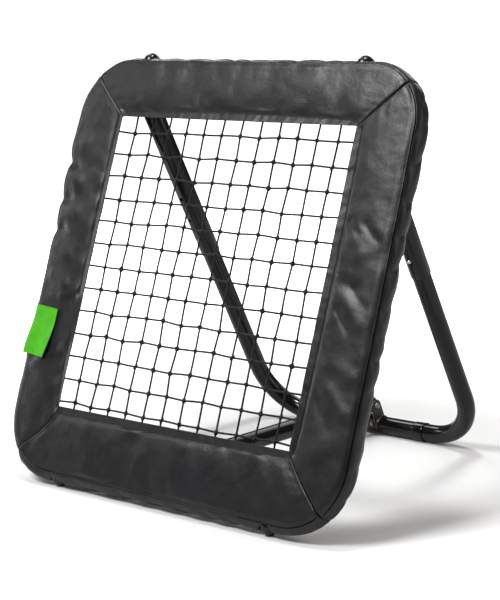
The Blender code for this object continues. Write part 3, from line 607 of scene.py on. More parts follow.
def bandPoint(side, along, row, centre):
    # hem strip and front band: the point, the way that it is lifted and how far
    own = coverSides[side]
    sign = 1 if along > 0 else -1
    neighbour = coverSides[(side + sign) % 4]
    toMitre = halfLength - abs(along)
    hemPoint = Vector((neighbour["hem"] * along / halfLength, -cover["hemDepth"], own["hem"]))
    front = centre + Vector((0, -cover["radius"], 0))
    width = (front - hemPoint).length
    kind, value = row
    first = cover["bandRows"]
    distance = value if kind == "band" else first + (width - first) * value
    point = hemPoint.lerp(front, distance / width)
    toStitch = distance - cover["strip"]
    if toStitch < 0:
        slope = 1 + toStitch / cover["strip"]
        lift = cover["stripRise"] - cover["stripDent"] * slope
        lift -= cover["stitchDent"] * bump(toStitch, cover["stitchWidth"])
        lift += 0.0011 * noise.noise(Vector((along * 22, side * 4.4, 1.5))) * (1 - slope)
        lift += 0.0005 * noise.noise(Vector((along * 70, side * 2.4, 4.5)))
    else:
        share = min(1.0, toStitch / (width - cover["strip"]))
        belly = cover["crown"] * math.sin(math.pi * share)
        lift = -cover["stripDent"] * math.exp(-toStitch / cover["dentReach"]) + belly
        pull = noise.noise(Vector((along * 26, side * 2.3, 5.5)))
        pull = cover["stitchPull"] * pull * math.exp(-toStitch / cover["pullReach"])
        lift += pull * smoothStep(0, 0.004, toStitch)
        lift += smoothStep(0, cover["foldsFrom"], toStitch) * foldHeight(side, point)
    if distance < cover["edgeWidth"]:
        lift -= cover["edgeRoll"] * (1 - distance / cover["edgeWidth"])
    pucker = noise.noise(Vector((distance * 75, side * 6.3 + sign, 0.8)))
    lift += cover["pucker"] * pucker * math.exp(-toMitre / cover["puckerReach"])
    bow = own["bow"] if sign > 0 else neighbour["bow"]
    arc = math.sin(math.pi * (distance / width) ** 0.75)
    bowing = bow * arc * bump(toMitre, cover["mitreBowReach"])
    point = point + Vector((1, 0, -sign)) * (bowing / math.sqrt(2))
    return point, Vector((0, -1, 0)), lift


def wrapPoint(side, along, row, centre, outward):
    # cloth round the tube, on both sides of the outer seam
    own = coverSides[side]
    first, last = own["seam"]
    seam = first + (last - first) * (along / halfLength + 1) / 2
    kind, value = row
    degrees = {
        "before": -90 + (seam + 90) * value,
        "seam": seam + value,
        "after": seam + 3 + (87 - seam) * value,
    }[kind]
    angle = math.radians(degrees)
    push = outward * math.cos(angle) + Vector((0, math.sin(angle), 0))
    point = centre + push * cover["radius"] * wrapReach(angle)
    past = degrees - seam
    lift = -cover["seamDepth"] * bump(past, cover["seamWidth"])
    # on the left the folds run on over the seam, elsewhere they fade before it
    if own["name"] == "left":
        lift += foldHeight(side, point) * (1 - smoothStep(-10, 40, degrees))
    else:
        lift += foldHeight(side, point) * smoothStep(0, -26, past)
    if past < 0:
        lift += cover["seamLip"] * bump(past + cover["lipPlace"], cover["lipWidth"])
    else:
        rise = smoothStep(1, 26, past) * (1 - 0.65 * smoothStep(70, 90, degrees))
        hang = own["hang"] * (1 - smoothStep(-25, 30, degrees))
        lift += (gatherHeight(along, angle, side) * own["puff"] + hang) * rise
    return point, push, lift


def coverPoint(side, along, row):
    # one point of a panel, built as the top side and turned round by quarters
    beyond = max(0.0, abs(along) - straight)
    bend = (1 if along > 0 else -1) * beyond / tube["bend"]
    centre = Vector((
        max(-straight, min(straight, along)) + tube["bend"] * math.sin(bend), 0,
        straight + tube["bend"] * math.cos(bend),
    ))
    outward = Vector((math.sin(bend), 0, math.cos(bend)))
    kind, value = row
    if kind in ("band", "share"):
        point, push, lift = bandPoint(side, along, row, centre)
    elif kind == "flap":
        back = Vector((0, cover["radius"], 0))
        point = centre - outward * cover["flap"] * value + back
        push = Vector((0, 1, 0))
        lift = gatherHeight(along, quarterTurn, side) * 0.35 * (1 - 0.6 * value)
    else:
        point, push, lift = wrapPoint(side, along, row, centre, outward)
    # the cloth lies flat under the label
    if side == label["side"]:
        lift *= smoothStep(*label["flatCloth"], abs(along - label["middle"]))
    # the mitre: both edges dip into the seam beside a line of stitches
    toMitre = halfLength - abs(along)
    lift = lift * smoothStep(-0.002, 0.020, toMitre)
    lift -= cover["mitreDip"] * bump(toMitre, cover["mitreWidth"])
    lift += cover["ridge"] * bump(toMitre - cover["ridgePlace"], cover["ridgeWidth"])
    return point + push * lift


def acrossPlaces(side, rows):
    # each row's distance from the hem's edge, along the cloth
    places = [0.0]
    for first, second in zip(rows, rows[1:]):
        step = coverPoint(side, 0.0, second) - coverPoint(side, 0.0, first)
        places.append(places[-1] + step.length)
    return places


def clothGrid(name, columns, rows, pointAt):
    # a grid with one vertex for each column and row, and where each of them came from
    deselect()
    bpy.ops.mesh.primitive_grid_add(x_subdivisions=columns - 1, y_subdivisions=rows - 1, size=2)
    sheet = newest(name)
    origins = []
    for vertex in sheet.data.vertices:
        column = round((vertex.co.x + 1) / 2 * (columns - 1))
        row = round((vertex.co.y + 1) / 2 * (rows - 1))
        origins.append((column, row))
        vertex.co = pointAt(column, row)
    return sheet, origins


# Cloth simulation: each panel is a little too long for its tube, so it buckles between its seams
crumple = {
    "columns": 116,
    "frames": 16,
    "bandExcess": 0.003,
    "sideExcess": 0.05,
    "labelReach": 0.055,       # cloth this close to the label's middle is held
    "cap": 0.005,              # longest move of a vertex
    "give": 0.0004,            # how far the cloth may sink into the tube or its padding
    "gravity": 0.1,
    "settings": {
        "quality": 6,
        "mass": 0.4,
        "tension_stiffness": 20,
        "compression_stiffness": 20,
        "shear_stiffness": 8,
        "bending_stiffness": 0.6,
    },
}


def panelTurn(side):
    return Matrix.Rotation(side * quarterTurn, 4, "Y")


def simulatePanels():
    scene = bpy.context.scene
    count = crumple["columns"]
    alongs = [-halfLength + 2 * halfLength * i / (count - 1) for i in range(count)]
    sheets = []
    for side in range(4):
        sheet, origins = clothGrid(
            f"cloth_{side}", count, len(clothRows),
            lambda c, r: coverPoint(side, alongs[c], clothRows[r]),
        )
        sheet.matrix_world = framePlace @ panelTurn(side)
        pins = sheet.vertex_groups.new(name="pins")
        slack = sheet.vertex_groups.new(name="slack")
        for index, (column, row) in enumerate(origins):
            kind = clothRows[row][0]
            toLabel = abs(alongs[column] - label["middle"])
            held = kind in ("band", "seam") or row == len(clothRows) - 1
            held = held or column in (0, count - 1)
            held = held or (side == label["side"] and toLabel < crumple["labelReach"])
            pins.add([index], 1.0 if held else 0.0, "REPLACE")
            slack.add([index], 1.0 if kind in ("after", "flap") else 0.0, "REPLACE")
        modifier = sheet.modifiers.new("Cloth", "CLOTH")
        settings = modifier.settings
        for key, value in crumple["settings"].items():
            setattr(settings, key, value)
        settings.vertex_group_mass = "pins"
        settings.vertex_group_shrink = "slack"
        settings.shrink_min = -crumple["bandExcess"]
        settings.shrink_max = -crumple["sideExcess"]
        settings.effector_weights.gravity = crumple["gravity"]
        modifier.collision_settings.use_collision = False
        modifier.point_cache.frame_end = crumple["frames"]
        sheets.append((sheet, origins))
    for step in range(1, crumple["frames"] + 1):
        scene.frame_set(step)
    moves = []
    graph = bpy.context.evaluated_depsgraph_get()
    for sheet, origins in sheets:
        result = sheet.evaluated_get(graph).to_mesh()
        grid = [[Vector() for row in clothRows] for column in range(count)]
        facing = 1 if sheet.data.polygons[0].normal.y < 0 else -1
        for before, after, (column, row) in zip(sheet.data.vertices, result.vertices, origins):
            move = after.co - before.co
            # padding and tube behind the cloth stop it from sinking
            sunk = min(0.0, move.dot(before.normal) * facing + crumple["give"])
            move -= before.normal * (facing * sunk)
            if move.length > crumple["cap"]:
                move *= crumple["cap"] / move.length
            grid[column][row] = move
        moves.append(grid)
    for sheet, origins in sheets:
        bpy.data.objects.remove(sheet, do_unlink=True)
    scene.frame_set(1)
    return moves


def splineWeights(share):
    return (
        (1 - share) ** 3 / 6, (3 * share ** 3 - 6 * share ** 2 + 4) / 6,
        (-3 * share ** 3 + 3 * share ** 2 + 3 * share + 1) / 6, share ** 3 / 6,
    )


def sampleMove(grid, column, row):
    # cubic spline through the simulated grid, so that its cells don't show
    move = Vector()
    c, r = int(column), int(row)
    for i, acrossWeight in enumerate(splineWeights(column - c)):
        line = grid[min(len(grid) - 1, max(0, c + i - 1))]
        for k, rowWeight in enumerate(splineWeights(row - r)):
            move += line[min(len(line) - 1, max(0, r + k - 1))] * (acrossWeight * rowWeight)
    return move


clothMoves = simulatePanels()
print("cover cloth simulated" if clothMoves else "cover cloth not simulated")


def openForFeet(panel):
    # round holes for the feet, with their edges drawn to the circle
    radius = tube["footRadius"] + cover["footPlay"]
    useOnly(panel)
    for x in (-tube["footX"], tube["footX"]):
        bpy.ops.object.mode_set(mode="EDIT")
        bpy.ops.mesh.select_mode(type="VERT")
        bpy.ops.mesh.select_all(action="DESELECT")
        bpy.ops.object.mode_set(mode="OBJECT")
        for vertex in panel.data.vertices:
            far = math.hypot(vertex.co.x - x, vertex.co.y)
            vertex.select = vertex.co.z > tube["axis"] and far < radius
        bpy.ops.object.mode_set(mode="EDIT")
        bpy.ops.mesh.delete(type="VERT")
        bpy.ops.mesh.select_non_manifold(
            extend=False, use_wire=False, use_boundary=True, use_multi_face=False,
            use_non_contiguous=False, use_verts=False,
        )
        bpy.ops.object.mode_set(mode="OBJECT")
        for vertex in panel.data.vertices:
            offset = Vector((vertex.co.x - x, vertex.co.y))
            near = offset.length < radius + cover["footEdge"]
            if vertex.select and vertex.co.z > tube["axis"] and near:
                offset *= radius / offset.length
                vertex.co.x, vertex.co.y = x + offset.x, offset.y


def mapCloth(sheet, origins, across, up):
    # the UV map runs in metres across and up the cloth
    uv = sheet.data.uv_layers.active.data
    for loop in sheet.data.loops:
        column, row = origins[loop.vertex_index]
        uv[loop.index].uv = (across[column], up[row])


def turnCloth(sheet, side):
    # to its side of the frame, with its faces to the front
    sheet.matrix_world = panelTurn(side)
    useOnly(sheet)
    bpy.ops.object.transform_apply(location=False, rotation=True, scale=False)
    editAll(sheet)
    bpy.ops.mesh.normals_make_consistent(inside=False)
    bpy.ops.object.mode_set(mode="OBJECT")
    if sheet.data.polygons[0].normal.y > 0:
        sheet.data.flip_normals()


def coverPanel(side):
    name = coverSides[side]["name"]
    near = cover["mitreColumns"]
    inner = halfLength - near[-1]
    count = round(2 * inner / cover["columnStep"])
    middle = [-inner + 2 * inner * i / count for i in range(1, count)]
    columns = [-halfLength + d for d in near] + middle + [halfLength - d for d in reversed(near)]
    across = acrossPlaces(side, fineRows)
    clothAcross = acrossPlaces(side, clothRows)
    rowPlaces = []
    for place in across:
        below = max(i for i, passed in enumerate(clothAcross) if passed <= place + 1e-9)
        below = min(below, len(clothAcross) - 2)
        gap = clothAcross[below + 1] - clothAcross[below]
        rowPlaces.append(below + min(1.0, (place - clothAcross[below]) / gap))

    sidePlace = framePlace @ panelTurn(side)
    back = sidePlace.inverted()

    def pointAt(column, row):
        point = coverPoint(side, columns[column], fineRows[row])
        if clothMoves:
            place = (columns[column] / halfLength + 1) / 2 * (crumple["columns"] - 1)
            move = sampleMove(clothMoves[side], place, rowPlaces[row])
            # sewn cloth stays: the hem, the outer seam and the mitres
            kind, value = fineRows[row]
            free = 0.0 if kind == "band" else 1.0
            if kind == "seam":
                free = smoothStep(0, 6, abs(value))
            free *= smoothStep(0.001, 0.012, halfLength - abs(columns[column]))
            point += move * free
        placed = sidePlace @ point
        if placed.z < cover["floorGap"]:
            # slack cloth lies flat on the floor
            placed.z = cover["floorGap"]
            point = back @ placed
        return point

    panel, origins = clothGrid(f"{name}_panel", len(columns), len(fineRows), pointAt)
    mapCloth(panel, origins, columns, across)
    if name in ("top", "bottom"):
        openForFeet(panel)
    turnCloth(panel, side)
    thicken(panel, cover["thickness"])
    return finishPiece(panel, "front_frame", cloth, [f"cover_{name}"], framePlace, 60)


for side, own in enumerate(coverSides):
    coverPanel(side)
print("cover made")


# Stitches: short runs of thread beside the hems and both sides of each mitre
stitch = {
    "length": 0.0034,
    "pitch": 0.0050,
    "thread": 0.00032,
    "rise": (0.0, 0.0006, 0.0),  # a run's ends dip into the cloth, its middle stands out
    "fromDent": 0.0012,        # from the hem's stitch dent towards its edge
    "fromEnd": 0.012,
    "fromCorner": 0.02,
    "fromMitre": 0.0056,
    "mitreRun": 0.11,
    # radius of the black cord that paints shade into the seams' grooves
    "tape": 0.0009,
    "tapeStep": 0.006,
    "tapeLift": 0.0007,        # of the painted shade cord above the outer seam groove's bottom
    "mitreLift": 0.0014,
}


def sewOn(side, kind, routes, radius, material):
    cord = cordCurve(f"{coverSides[side]['name']}_{kind}", routes, radius, 1)
    cord.matrix_world = panelTurn(side)
    finishPiece(cord, "front_frame", material, (), framePlace, 60)


def threadRun(side, places):
    return [
        coverPoint(side, along, row) - Vector((0, rise, 0))
        for (along, row), rise in zip(places, stitch["rise"])
    ]


def stitchRoutes(side):
    routes = []
    length, pitch, run = stitch["length"], stitch["pitch"], stitch["mitreRun"]
    hem = coverSides[side]["hem"]
    hemShare = hem / halfLength
    hemRow = ("band", cover["strip"] - stitch["fromDent"])
    first = halfLength - stitch["fromEnd"]
    for i in range(int(2 * first / pitch)):
        start = -first + i * pitch
        if abs(start) * hemShare <= hem - stitch["fromCorner"]:
            alongs = (start, start + length / 2, start + length)
            routes.append(threadRun(side, [(along, hemRow) for along in alongs]))
    for sign in (-1, 1):
        along = sign * (halfLength - stitch["fromMitre"])
        for i in range(int(run / pitch)):
            shares = [(i + part) * pitch / run for part in (0.1, 0.42, 0.74)]
            rows = [("share", 0.02 + 0.96 * share) for share in shares]
            routes.append(threadRun(side, [(along, row) for row in rows]))
    return routes


def seamShadeRoutes(side):
    # painted shade: a black cord in the outer seam's groove and in the mitre at the panel's end, drawn as their
    # shadow
    groove, mitre = [], []
    columns = round(2 * halfLength / stitch["tapeStep"])
    for i in range(columns + 1):
        along = halfLength * (2 * i / columns - 1)
        bottom, *rims = (coverPoint(side, along, ("seam", degrees)) for degrees in (0, -3, 3))
        rim = (rims[0] + rims[1]) / 2
        groove.append(bottom + (rim - bottom).normalized() * stitch["tapeLift"])
    rows = [("share", i / 22) for i in range(23)]
    rows += [("before", share) for share in (0.28, 0.56, 0.78, 0.91)]
    for row in rows:
        point = coverPoint(side, halfLength, row)
        out = Vector((0, -1, 0))
        if row[0] == "before":
            out = (coverPoint(side, halfLength - 0.0036, row) - point).normalized()
        mitre.append(point + out * stitch["mitreLift"])
    return [groove, mitre]


for side in range(4):
    sewOn(side, "stitches", stitchRoutes(side), stitch["thread"], sewingThread)
    # the dark seam lines are painted shade: a black cord laid in each groove
    sewOn(side, "seam_tape", seamShadeRoutes(side), stitch["tape"], seamShadePaint)
print("stitches and seam tape made")


# Label tab: blank woven cloth folded round the outer edge, a little askew
def wrapTable(radius):
    # distance along the outside of the wrap, with the place and the way out there
    table, length = [], 0.0
    for degrees in range(-90, 61):
        angle = math.radians(degrees)
        away = Vector((math.cos(angle), math.sin(angle)))
        point = away * (wrapReach(angle) * radius)
        if table:
            length += (point - table[-1][1]).length
        table.append((length, point, away))
    return table


def labelTab():
    table = wrapTable(cover["radius"] + label["rest"])
    middle = label["width"] / 2 - (tube["axis"] - label["inner"])
    turn = math.radians(label["turn"])
    columns, rows = label["grid"]
    across = [(i / (columns - 1) - 0.5) * label["width"] for i in range(columns)]
    upward = [(i / (rows - 1) - 0.5) * label["height"] for i in range(rows)]

    def pointAt(column, row):
        x, up = across[column], upward[row]
        bulge = label["bulge"] * (1 - (2 * up / label["height"]) ** 2) * (0.5 - x / label["width"])
        out = middle + x * math.cos(turn) - up * math.sin(turn) - bulge
        height = label["middle"] + x * math.sin(turn) + up * math.cos(turn)
        free = 0.5 - x / label["width"]
        low = 0.5 - up / label["height"]
        lift = label["lift"] * smoothStep(0.45, 1.0, free) * smoothStep(0.25, 1.0, low)
        lift += label["edgeLift"] * smoothStep(0.6, 1.0, free)
        lift += label["slack"] * smoothStep(0.15, 0.9, low) * bump(out - 0.020, 0.013)
        edge = min(label["width"] / 2 - abs(x), label["height"] / 2 - abs(up))
        lift -= label["stitchDent"] * bump(edge - label["stitchInset"], 0.0007)
        lift += label["ripple"] * noise.noise(Vector((x * 40, up * 30, 0.5)))
        if out <= 0:
            return Vector((height, table[0][1].y - lift, tube["axis"] + out))
        index = next((i for i, entry in enumerate(table) if entry[0] >= out), len(table) - 1)
        before, start = table[index - 1][:2]
        length, place, away = table[index]
        place = start.lerp(place, min(1.0, (out - before) / (length - before))) + away * lift
        return Vector((height, place.y, tube["axis"] + place.x))

    tab, origins = clothGrid("blank_label_tab", columns, rows, pointAt)
    fromEdge = [x + label["width"] / 2 for x in across]
    fromEnd = [up + label["height"] / 2 for up in upward]
    mapCloth(tab, origins, fromEdge, fromEnd)
    turnCloth(tab, label["side"])
    thicken(tab, label["cloth"], 1)
    finishPiece(tab, "front_frame", labelCloth, ["label_tab"], framePlace, 50)


labelTab()
print("label made")


# The net: knotted cords with the small irregularities of a hand-hung net
net = {
    "cells": 14,
    "pitchX": 0.04673,
    "pitchZ": 0.04583,
    "shiftX": 0.0070,
    "cord": 0.0038,
    "border": 0.0038,
    "knot": (0.0053, 0.0034, 0.0054),
    "lobe": 0.22,              # a knot's four lobes, as a share of its size
    "jitter": 0.0044,
    "bow": 0.0009,             # of a cord between two knots
    "steps": 6,
}


def knotPoint(i, j):
    # knots sit a little off their places, as tied by hand
    x = net["shiftX"] + (i - net["cells"] / 2) * net["pitchX"]
    z = (j - net["cells"] / 2) * net["pitchZ"]
    edge = min(1.0, min(i, net["cells"] - i), min(j, net["cells"] - j))
    loose = net["jitter"] * max(0.0, edge)
    x += loose * noise.noise(Vector((i * 3.37, j * 2.71, 0.3)))
    z += loose * noise.noise(Vector((i * 2.93, j * 3.19, 5.3)))
    back = 0.4 * loose * noise.noise(Vector((i * 1.5, j * 1.7, 8.8)))
    return Vector((x, back, z))


def netPoint(i, j):
    # i and j count meshes from the left and from the bottom; between knots a cord bows slightly
    left, below = math.floor(i), math.floor(j)
    first = knotPoint(left, below)
    if i == left and j == below:
        return first
    second = knotPoint(math.ceil(i), math.ceil(j))
    share = (i - left) + (j - below)
    bow = noise.noise(Vector((left * 4.1, below * 3.7, 2.2)))
    bow *= net["bow"] * math.sin(math.pi * share)
    return first.lerp(second, share) + Vector((bow, 0, bow))


def knottedNet():
    cells, steps = net["cells"], net["steps"]
    routes = []
    for k in range(1, cells):
        routes.append([netPoint(k, i / steps) for i in range(cells * steps + 1)])
        routes.append([netPoint(i / steps, k) for i in range(cells * steps + 1)])
    lattice = cordCurve("knotted_net", routes, net["cord"] / 2)
    corners = [netPoint(i, j) for i, j in ((0, 0), (cells, 0), (cells, cells), (0, cells), (0, 0))]
    border = cordCurve("net_border", [corners], net["border"] / 2)
    deselect()
    bpy.ops.mesh.primitive_ico_sphere_add(subdivisions=2, radius=1)
    knot = newest("net_knot")
    for vertex in knot.data.vertices:
        # two crossing lobes, as the loops of a knot
        lobe = net["lobe"] * math.cos(4 * math.atan2(vertex.co.z, vertex.co.x))
        lobe = 1 + lobe * (1 - vertex.co.y ** 2)
        vertex.co = Vector(a * b for a, b in zip(vertex.co, net["knot"])) * lobe
    knots = []
    for i in range(1, cells):
        for j in range(1, cells):
            copy = addObject("knot", knot.data.copy())
            copy.location = netPoint(i, j)
            turn = noise.noise(Vector((i * 3.3, j * 4.1, 1.1)))
            size = 1 + 0.25 * noise.noise(Vector((i * 2.3, j * 5.1, 6.1)))
            copy.rotation_euler = (turn, 0.6 * turn, 1.2 * turn)
            copy.scale = (size, size, size)
            knots.append(copy)
    bpy.data.objects.remove(knot, do_unlink=True)
    useOnly(lattice)
    for piece in knots + [border]:
        piece.select_set(True)
    bpy.ops.object.join()
    return finishPiece(lattice, "front_frame", netCord, ["net"], framePlace, 50)


knottedNet()
print("net made")

# Lacing: elastic cord wound round the tube and the net's border
lacing = {
    "radius": 0.0010,
    "run": 0.0208,             # centre line round the tube
    "clearOfFittings": 0.034,  # from the middle of a bracket or a foot
    "gap": 0.0006,             # to the net's border
    "slant": 0.0014,           # beside the border, towards the tube
    "steps": 12,               # round the tube
}


def lacingSide(side, name, border, pitch, shift, fittings):
    inside = border - net["border"] / 2 - lacing["radius"] - lacing["gap"]
    beside = inside + lacing["slant"]
    depth = net["border"] / 2 + lacing["radius"] * 0.7
    runs = [[]]
    for k in range(1, net["cells"] - 1):
        place = shift + (k + 0.5 - net["cells"] / 2) * pitch
        if any(abs(place - x) < lacing["clearOfFittings"] for x in fittings):
            runs.append([])
        else:
            runs[-1].append(place)
    routes = []
    for run in (run for run in runs if len(run) > 1):
        route = [(run[0], 0.0, inside), (run[0], -depth, beside)]
        for start, following in zip(run, run[1:]):
            for i in range(lacing["steps"] + 1):
                angle = -quarterTurn + math.pi * i / lacing["steps"]
                along = start + (following - start) * (i + 1) / (lacing["steps"] + 2)
                high = tube["axis"] + lacing["run"] * math.cos(angle)
                route.append((along, lacing["run"] * math.sin(angle), high))
            for back, high in ((depth, beside), (0.0, inside), (-depth, beside)):
                route.append((following, back, high))
        routes.append(route)
    cord = cordCurve(f"lacing_cord_{name}", routes, lacing["radius"], 1)
    # finishPiece reads matrix_world, which lacks this turn: every cord ends up at the top
    cord.rotation_euler = (0, side * quarterTurn, 0)
    return finishPiece(cord, "front_frame", laceCord, [f"lacing_{name}"], framePlace, 60)


halfNetX = net["cells"] / 2 * net["pitchX"]
halfNetZ = net["cells"] / 2 * net["pitchZ"]
legPlaces = (-tube["legX"], tube["legX"])
footPlaces = (-tube["footX"], 0.0, tube["footX"])
lacingSide(0, "top", halfNetZ, net["pitchX"], net["shiftX"], legPlaces)
lacingSide(1, "right", halfNetX + net["shiftX"], net["pitchZ"], 0.0, ())
lacingSide(2, "bottom", halfNetZ, net["pitchX"], -net["shiftX"], footPlaces)
lacingSide(3, "left", halfNetX - net["shiftX"], net["pitchZ"], 0.0, ())
print("lacing made")


# Tubes, drawn from a ring by extruding and spinning it
def startRing(name, radius, location, rotation=(0, 0, 0), sides=48):
    deselect()
    bpy.ops.mesh.primitive_circle_add(
        vertices=sides, radius=radius, location=location, rotation=rotation,
    )
    ring = newest(name)
    useOnly(ring)
    bpy.ops.object.transform_apply(location=True, rotation=True, scale=True)
    editAll(ring)
    return ring


def extrudeRing(x, y, z):
    bpy.ops.mesh.extrude_region_move(TRANSFORM_OT_translate={"value": (x, y, z)})


def spinRing(steps, angle, x, z):
    bpy.ops.mesh.spin(steps=steps, angle=angle, center=(x, 0, z), axis=(0, 1, 0))


def wallUp(piece, wall):
    bpy.ops.object.mode_set(mode="OBJECT")
    cleanMesh(piece)
    thicken(piece, wall)


def drillTube(piece, radius, location, rotation, depth):
    deselect()
    bpy.ops.mesh.primitive_cylinder_add(
        vertices=32, radius=radius, depth=depth, location=location, rotation=rotation,
    )
    cutWith(piece, newest("drill"))


# Frame: its lower half ends in plugs that fit into the upper half
plug = {
    "depth": 0.040,
    "play": 0.0005,            # all round, in the upper half's bore
    "gap": 0.0003,             # between the two halves
    "cone": 0.004,             # length of the step from the plug to the full tube
    "sides": 40,
}


def frameTube(name, up):
    # one U of the frame, from its left end round to its right end
    start = 0.0 if up > 0 else -plug["gap"] - plug["cone"]
    end = up * straight
    piece = startRing(name, tube["radius"], (-tube["axis"], 0, start), sides=plug["sides"])
    extrudeRing(0, 0, end - start)
    spinRing(14, -quarterTurn * up, -straight, end)
    extrudeRing(2 * straight, 0, 0)
    spinRing(14, -quarterTurn * up, straight, end)
    extrudeRing(0, 0, start - end)
    wallUp(piece, tube["wall"])
    return piece


upperTube = frameTube("frame_tube_upper_coated", 1)
finishPiece(upperTube, "front_frame", powderCoat, ["frame_tube_upper"], framePlace)
lowerTube = frameTube("frame_tube_lower_coated", -1)
plugRadius = tube["radius"] - tube["wall"] - plug["play"]
swell = tube["radius"] / plugRadius
for x in (-tube["axis"], tube["axis"]):
    spigot = startRing("spigot", plugRadius, (x, 0, plug["depth"]), sides=plug["sides"])
    extrudeRing(0, 0, -plug["depth"] - plug["gap"])
    extrudeRing(0, 0, -plug["cone"])
    coneEnd = (x, 0, -plug["gap"] - plug["cone"])
    bpy.ops.transform.resize(value=(swell, swell, 1), center_override=coneEnd)
    wallUp(spigot, tube["wall"])
    useOnly(lowerTube)
    spigot.select_set(True)
    bpy.ops.object.join()
finishPiece(lowerTube, "front_frame", powderCoat, ["frame_tube_lower"], framePlace)

leg = {
    "length": 0.8025,          # pivot to the rear bar's axis
    "upperEnd": 0.416,         # from the bar's axis, as all heights on the leg
    "lowerTop": 0.520,
    "shoulder": 0.022,         # upper tube's top, below the pivot
    "button": 0.457,
    "holePitch": 0.051,
    "holeRadius": 0.0043,
    "holeEdge": 0.0005,
    "barEnd": 0.118,           # where the bent tube leaves the bar
}
for sign, name in ((-1, "left"), (1, "right")):
    x, side = sign * tube["legX"], f"leg_upper_tube_{name}"
    upper = startRing(f"{side}_coated", tube["upperRadius"], (x, 0, leg["upperEnd"]))
    extrudeRing(0, 0, leg["length"] - leg["shoulder"] - leg["upperEnd"])
    wallUp(upper, tube["wall"])
    for i in range(3):
        hole = (x, -tube["upperRadius"], leg["button"] + i * leg["holePitch"])
        drillTube(upper, leg["holeRadius"], hole, (quarterTurn, 0, 0), 0.03)
    bevelEdges(upper, leg["holeEdge"])
    finishPiece(upper, "leg_upper", powderCoat, [side], legPlace)

    bend, side = tube["lowerBend"], f"leg_lower_tube_{name}"
    start = (sign * leg["barEnd"], 0, 0)
    lower = startRing(f"{side}_coated", tube["lowerRadius"], start, (0, quarterTurn, 0))
    extrudeRing(sign * (tube["legX"] - bend - leg["barEnd"]), 0, 0)
    spinRing(28, sign * quarterTurn, sign * (tube["legX"] - bend), bend)
    extrudeRing(0, 0, leg["lowerTop"] - bend)
    wallUp(lower, tube["wall"])
    hole = (x, -tube["lowerRadius"], leg["button"])
    drillTube(lower, leg["holeRadius"], hole, (quarterTurn, 0, 0), 0.02)
    finishPiece(lower, "leg_lower", powderCoat, [side], legPlace)


def ringSteps(steps, along):
    # each step moves the ring to a new place on its axis and to a new radius
    for (x0, r0), (x1, r1) in zip(steps, steps[1:]):
        extrudeRing(*(Vector(along) * (x1 - x0)))
        if r1 != r0:
            sizes = [1 if a else r1 / r0 for a in along]
            bpy.ops.transform.resize(value=sizes, center_override=tuple(Vector(along) * x1))


bell = {
    "start": 0.1115,
    "taper": 0.005,
    "end": 0.140,
    "radius": 0.0193,
    "lip": 0.0006,
    # the rolled lip: distance from the bell's end and share of the lip's height
    "roll": ((0, 0.5), (0.0005, 1), (0.0024, 1), (0.0030, 0)),
}
bellHalf = [
    (bell["end"] - back, bell["radius"] + bell["lip"] * share) for back, share in bell["roll"]
] + [
    (bell["start"] + bell["taper"], bell["radius"]),
    (bell["start"] + bell["taper"] * 0.6, bell["radius"] - 0.0005),
    (bell["start"], tube["lowerRadius"]),
]
steps = [(-x, radius) for x, radius in bellHalf] + bellHalf[::-1]
bar = startRing("rear_bar_coated", steps[0][1], (steps[0][0], 0, 0), (0, quarterTurn, 0))
ringSteps(steps, (1, 0, 0))
wallUp(bar, tube["wall"])
finishPiece(bar, "leg_lower", powderCoat, ["rear_bar"], legPlace)

strut = {
    "radius": 0.018,
    "length": 0.6074,          # between its bolts
    "front": 0.010,            # from a bolt to the end of its cap
    "rear": 0.012,
    "cap": 0.0015,             # wall of a cap
    "boltHole": 0.0043,
    "looseHole": 0.0062,
}
start = (0, strut["cap"] - strut["front"], 0)
strutTube = startRing("strut_tube_coated", strut["radius"], start, (quarterTurn, 0, 0))
extrudeRing(0, strut["length"] + strut["front"] + strut["rear"] - 2 * strut["cap"], 0)
wallUp(strutTube, tube["wall"])
for hole, along in (("boltHole", 0), ("looseHole", strut["length"])):
    drillTube(strutTube, strut[hole], (0, along, 0), (0, quarterTurn, 0), 0.05)
finishPiece(strutTube, "strut", powderCoat, ["strut_tube"], strutPlace)
print("tubes made")


# Pressed, moulded and turned parts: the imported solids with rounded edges
rounding = {
    "bracket": 0.0004,
    "pivotEnd": 0.0008,
    "cap": 0.0003,
    "hardware": 0.00025,
}


def refinedCopy(name, material, bevel):
    piece = addObject(f"{name}_finished", nodes[name].data.copy())
    cleanMesh(piece)
    flat = piece.modifiers.new("flat", "DECIMATE")
    flat.decimate_type = "DISSOLVE"
    flat.angle_limit = math.radians(1)
    applyModifiers(piece)
    bevelEdges(piece, bevel)
    return finishPiece(piece, bodyOf[name], material, [name], None, 40)


for name in ("leg_bracket_left", "leg_bracket_right", "strut_bracket_front", "strut_bracket_rear"):
    refinedCopy(name, oliveZinc, rounding["bracket"])
for name in ("leg_pivot_end_left", "leg_pivot_end_right"):
    refinedCopy(name, nylon, rounding["pivotEnd"])
for name in ("strut_cap_front", "strut_cap_rear"):
    refinedCopy(name, nylon, rounding["cap"])
print("brackets and ends made")

# Rubber feet: a domed stud with a shallow groove, its base cut to the tube
foot = {
    "shoulder": 0.420,         # from the net's centre
    "groove": 0.0006,
    # distance below the shoulder, and 1 where the ring is in the groove
    "profile": ((0.012, 0), (0.0020, 0), (0.0016, 1), (0.0008, 1), (0.0004, 0), (0, 0)),
    "tubeGap": 0.0002,
}


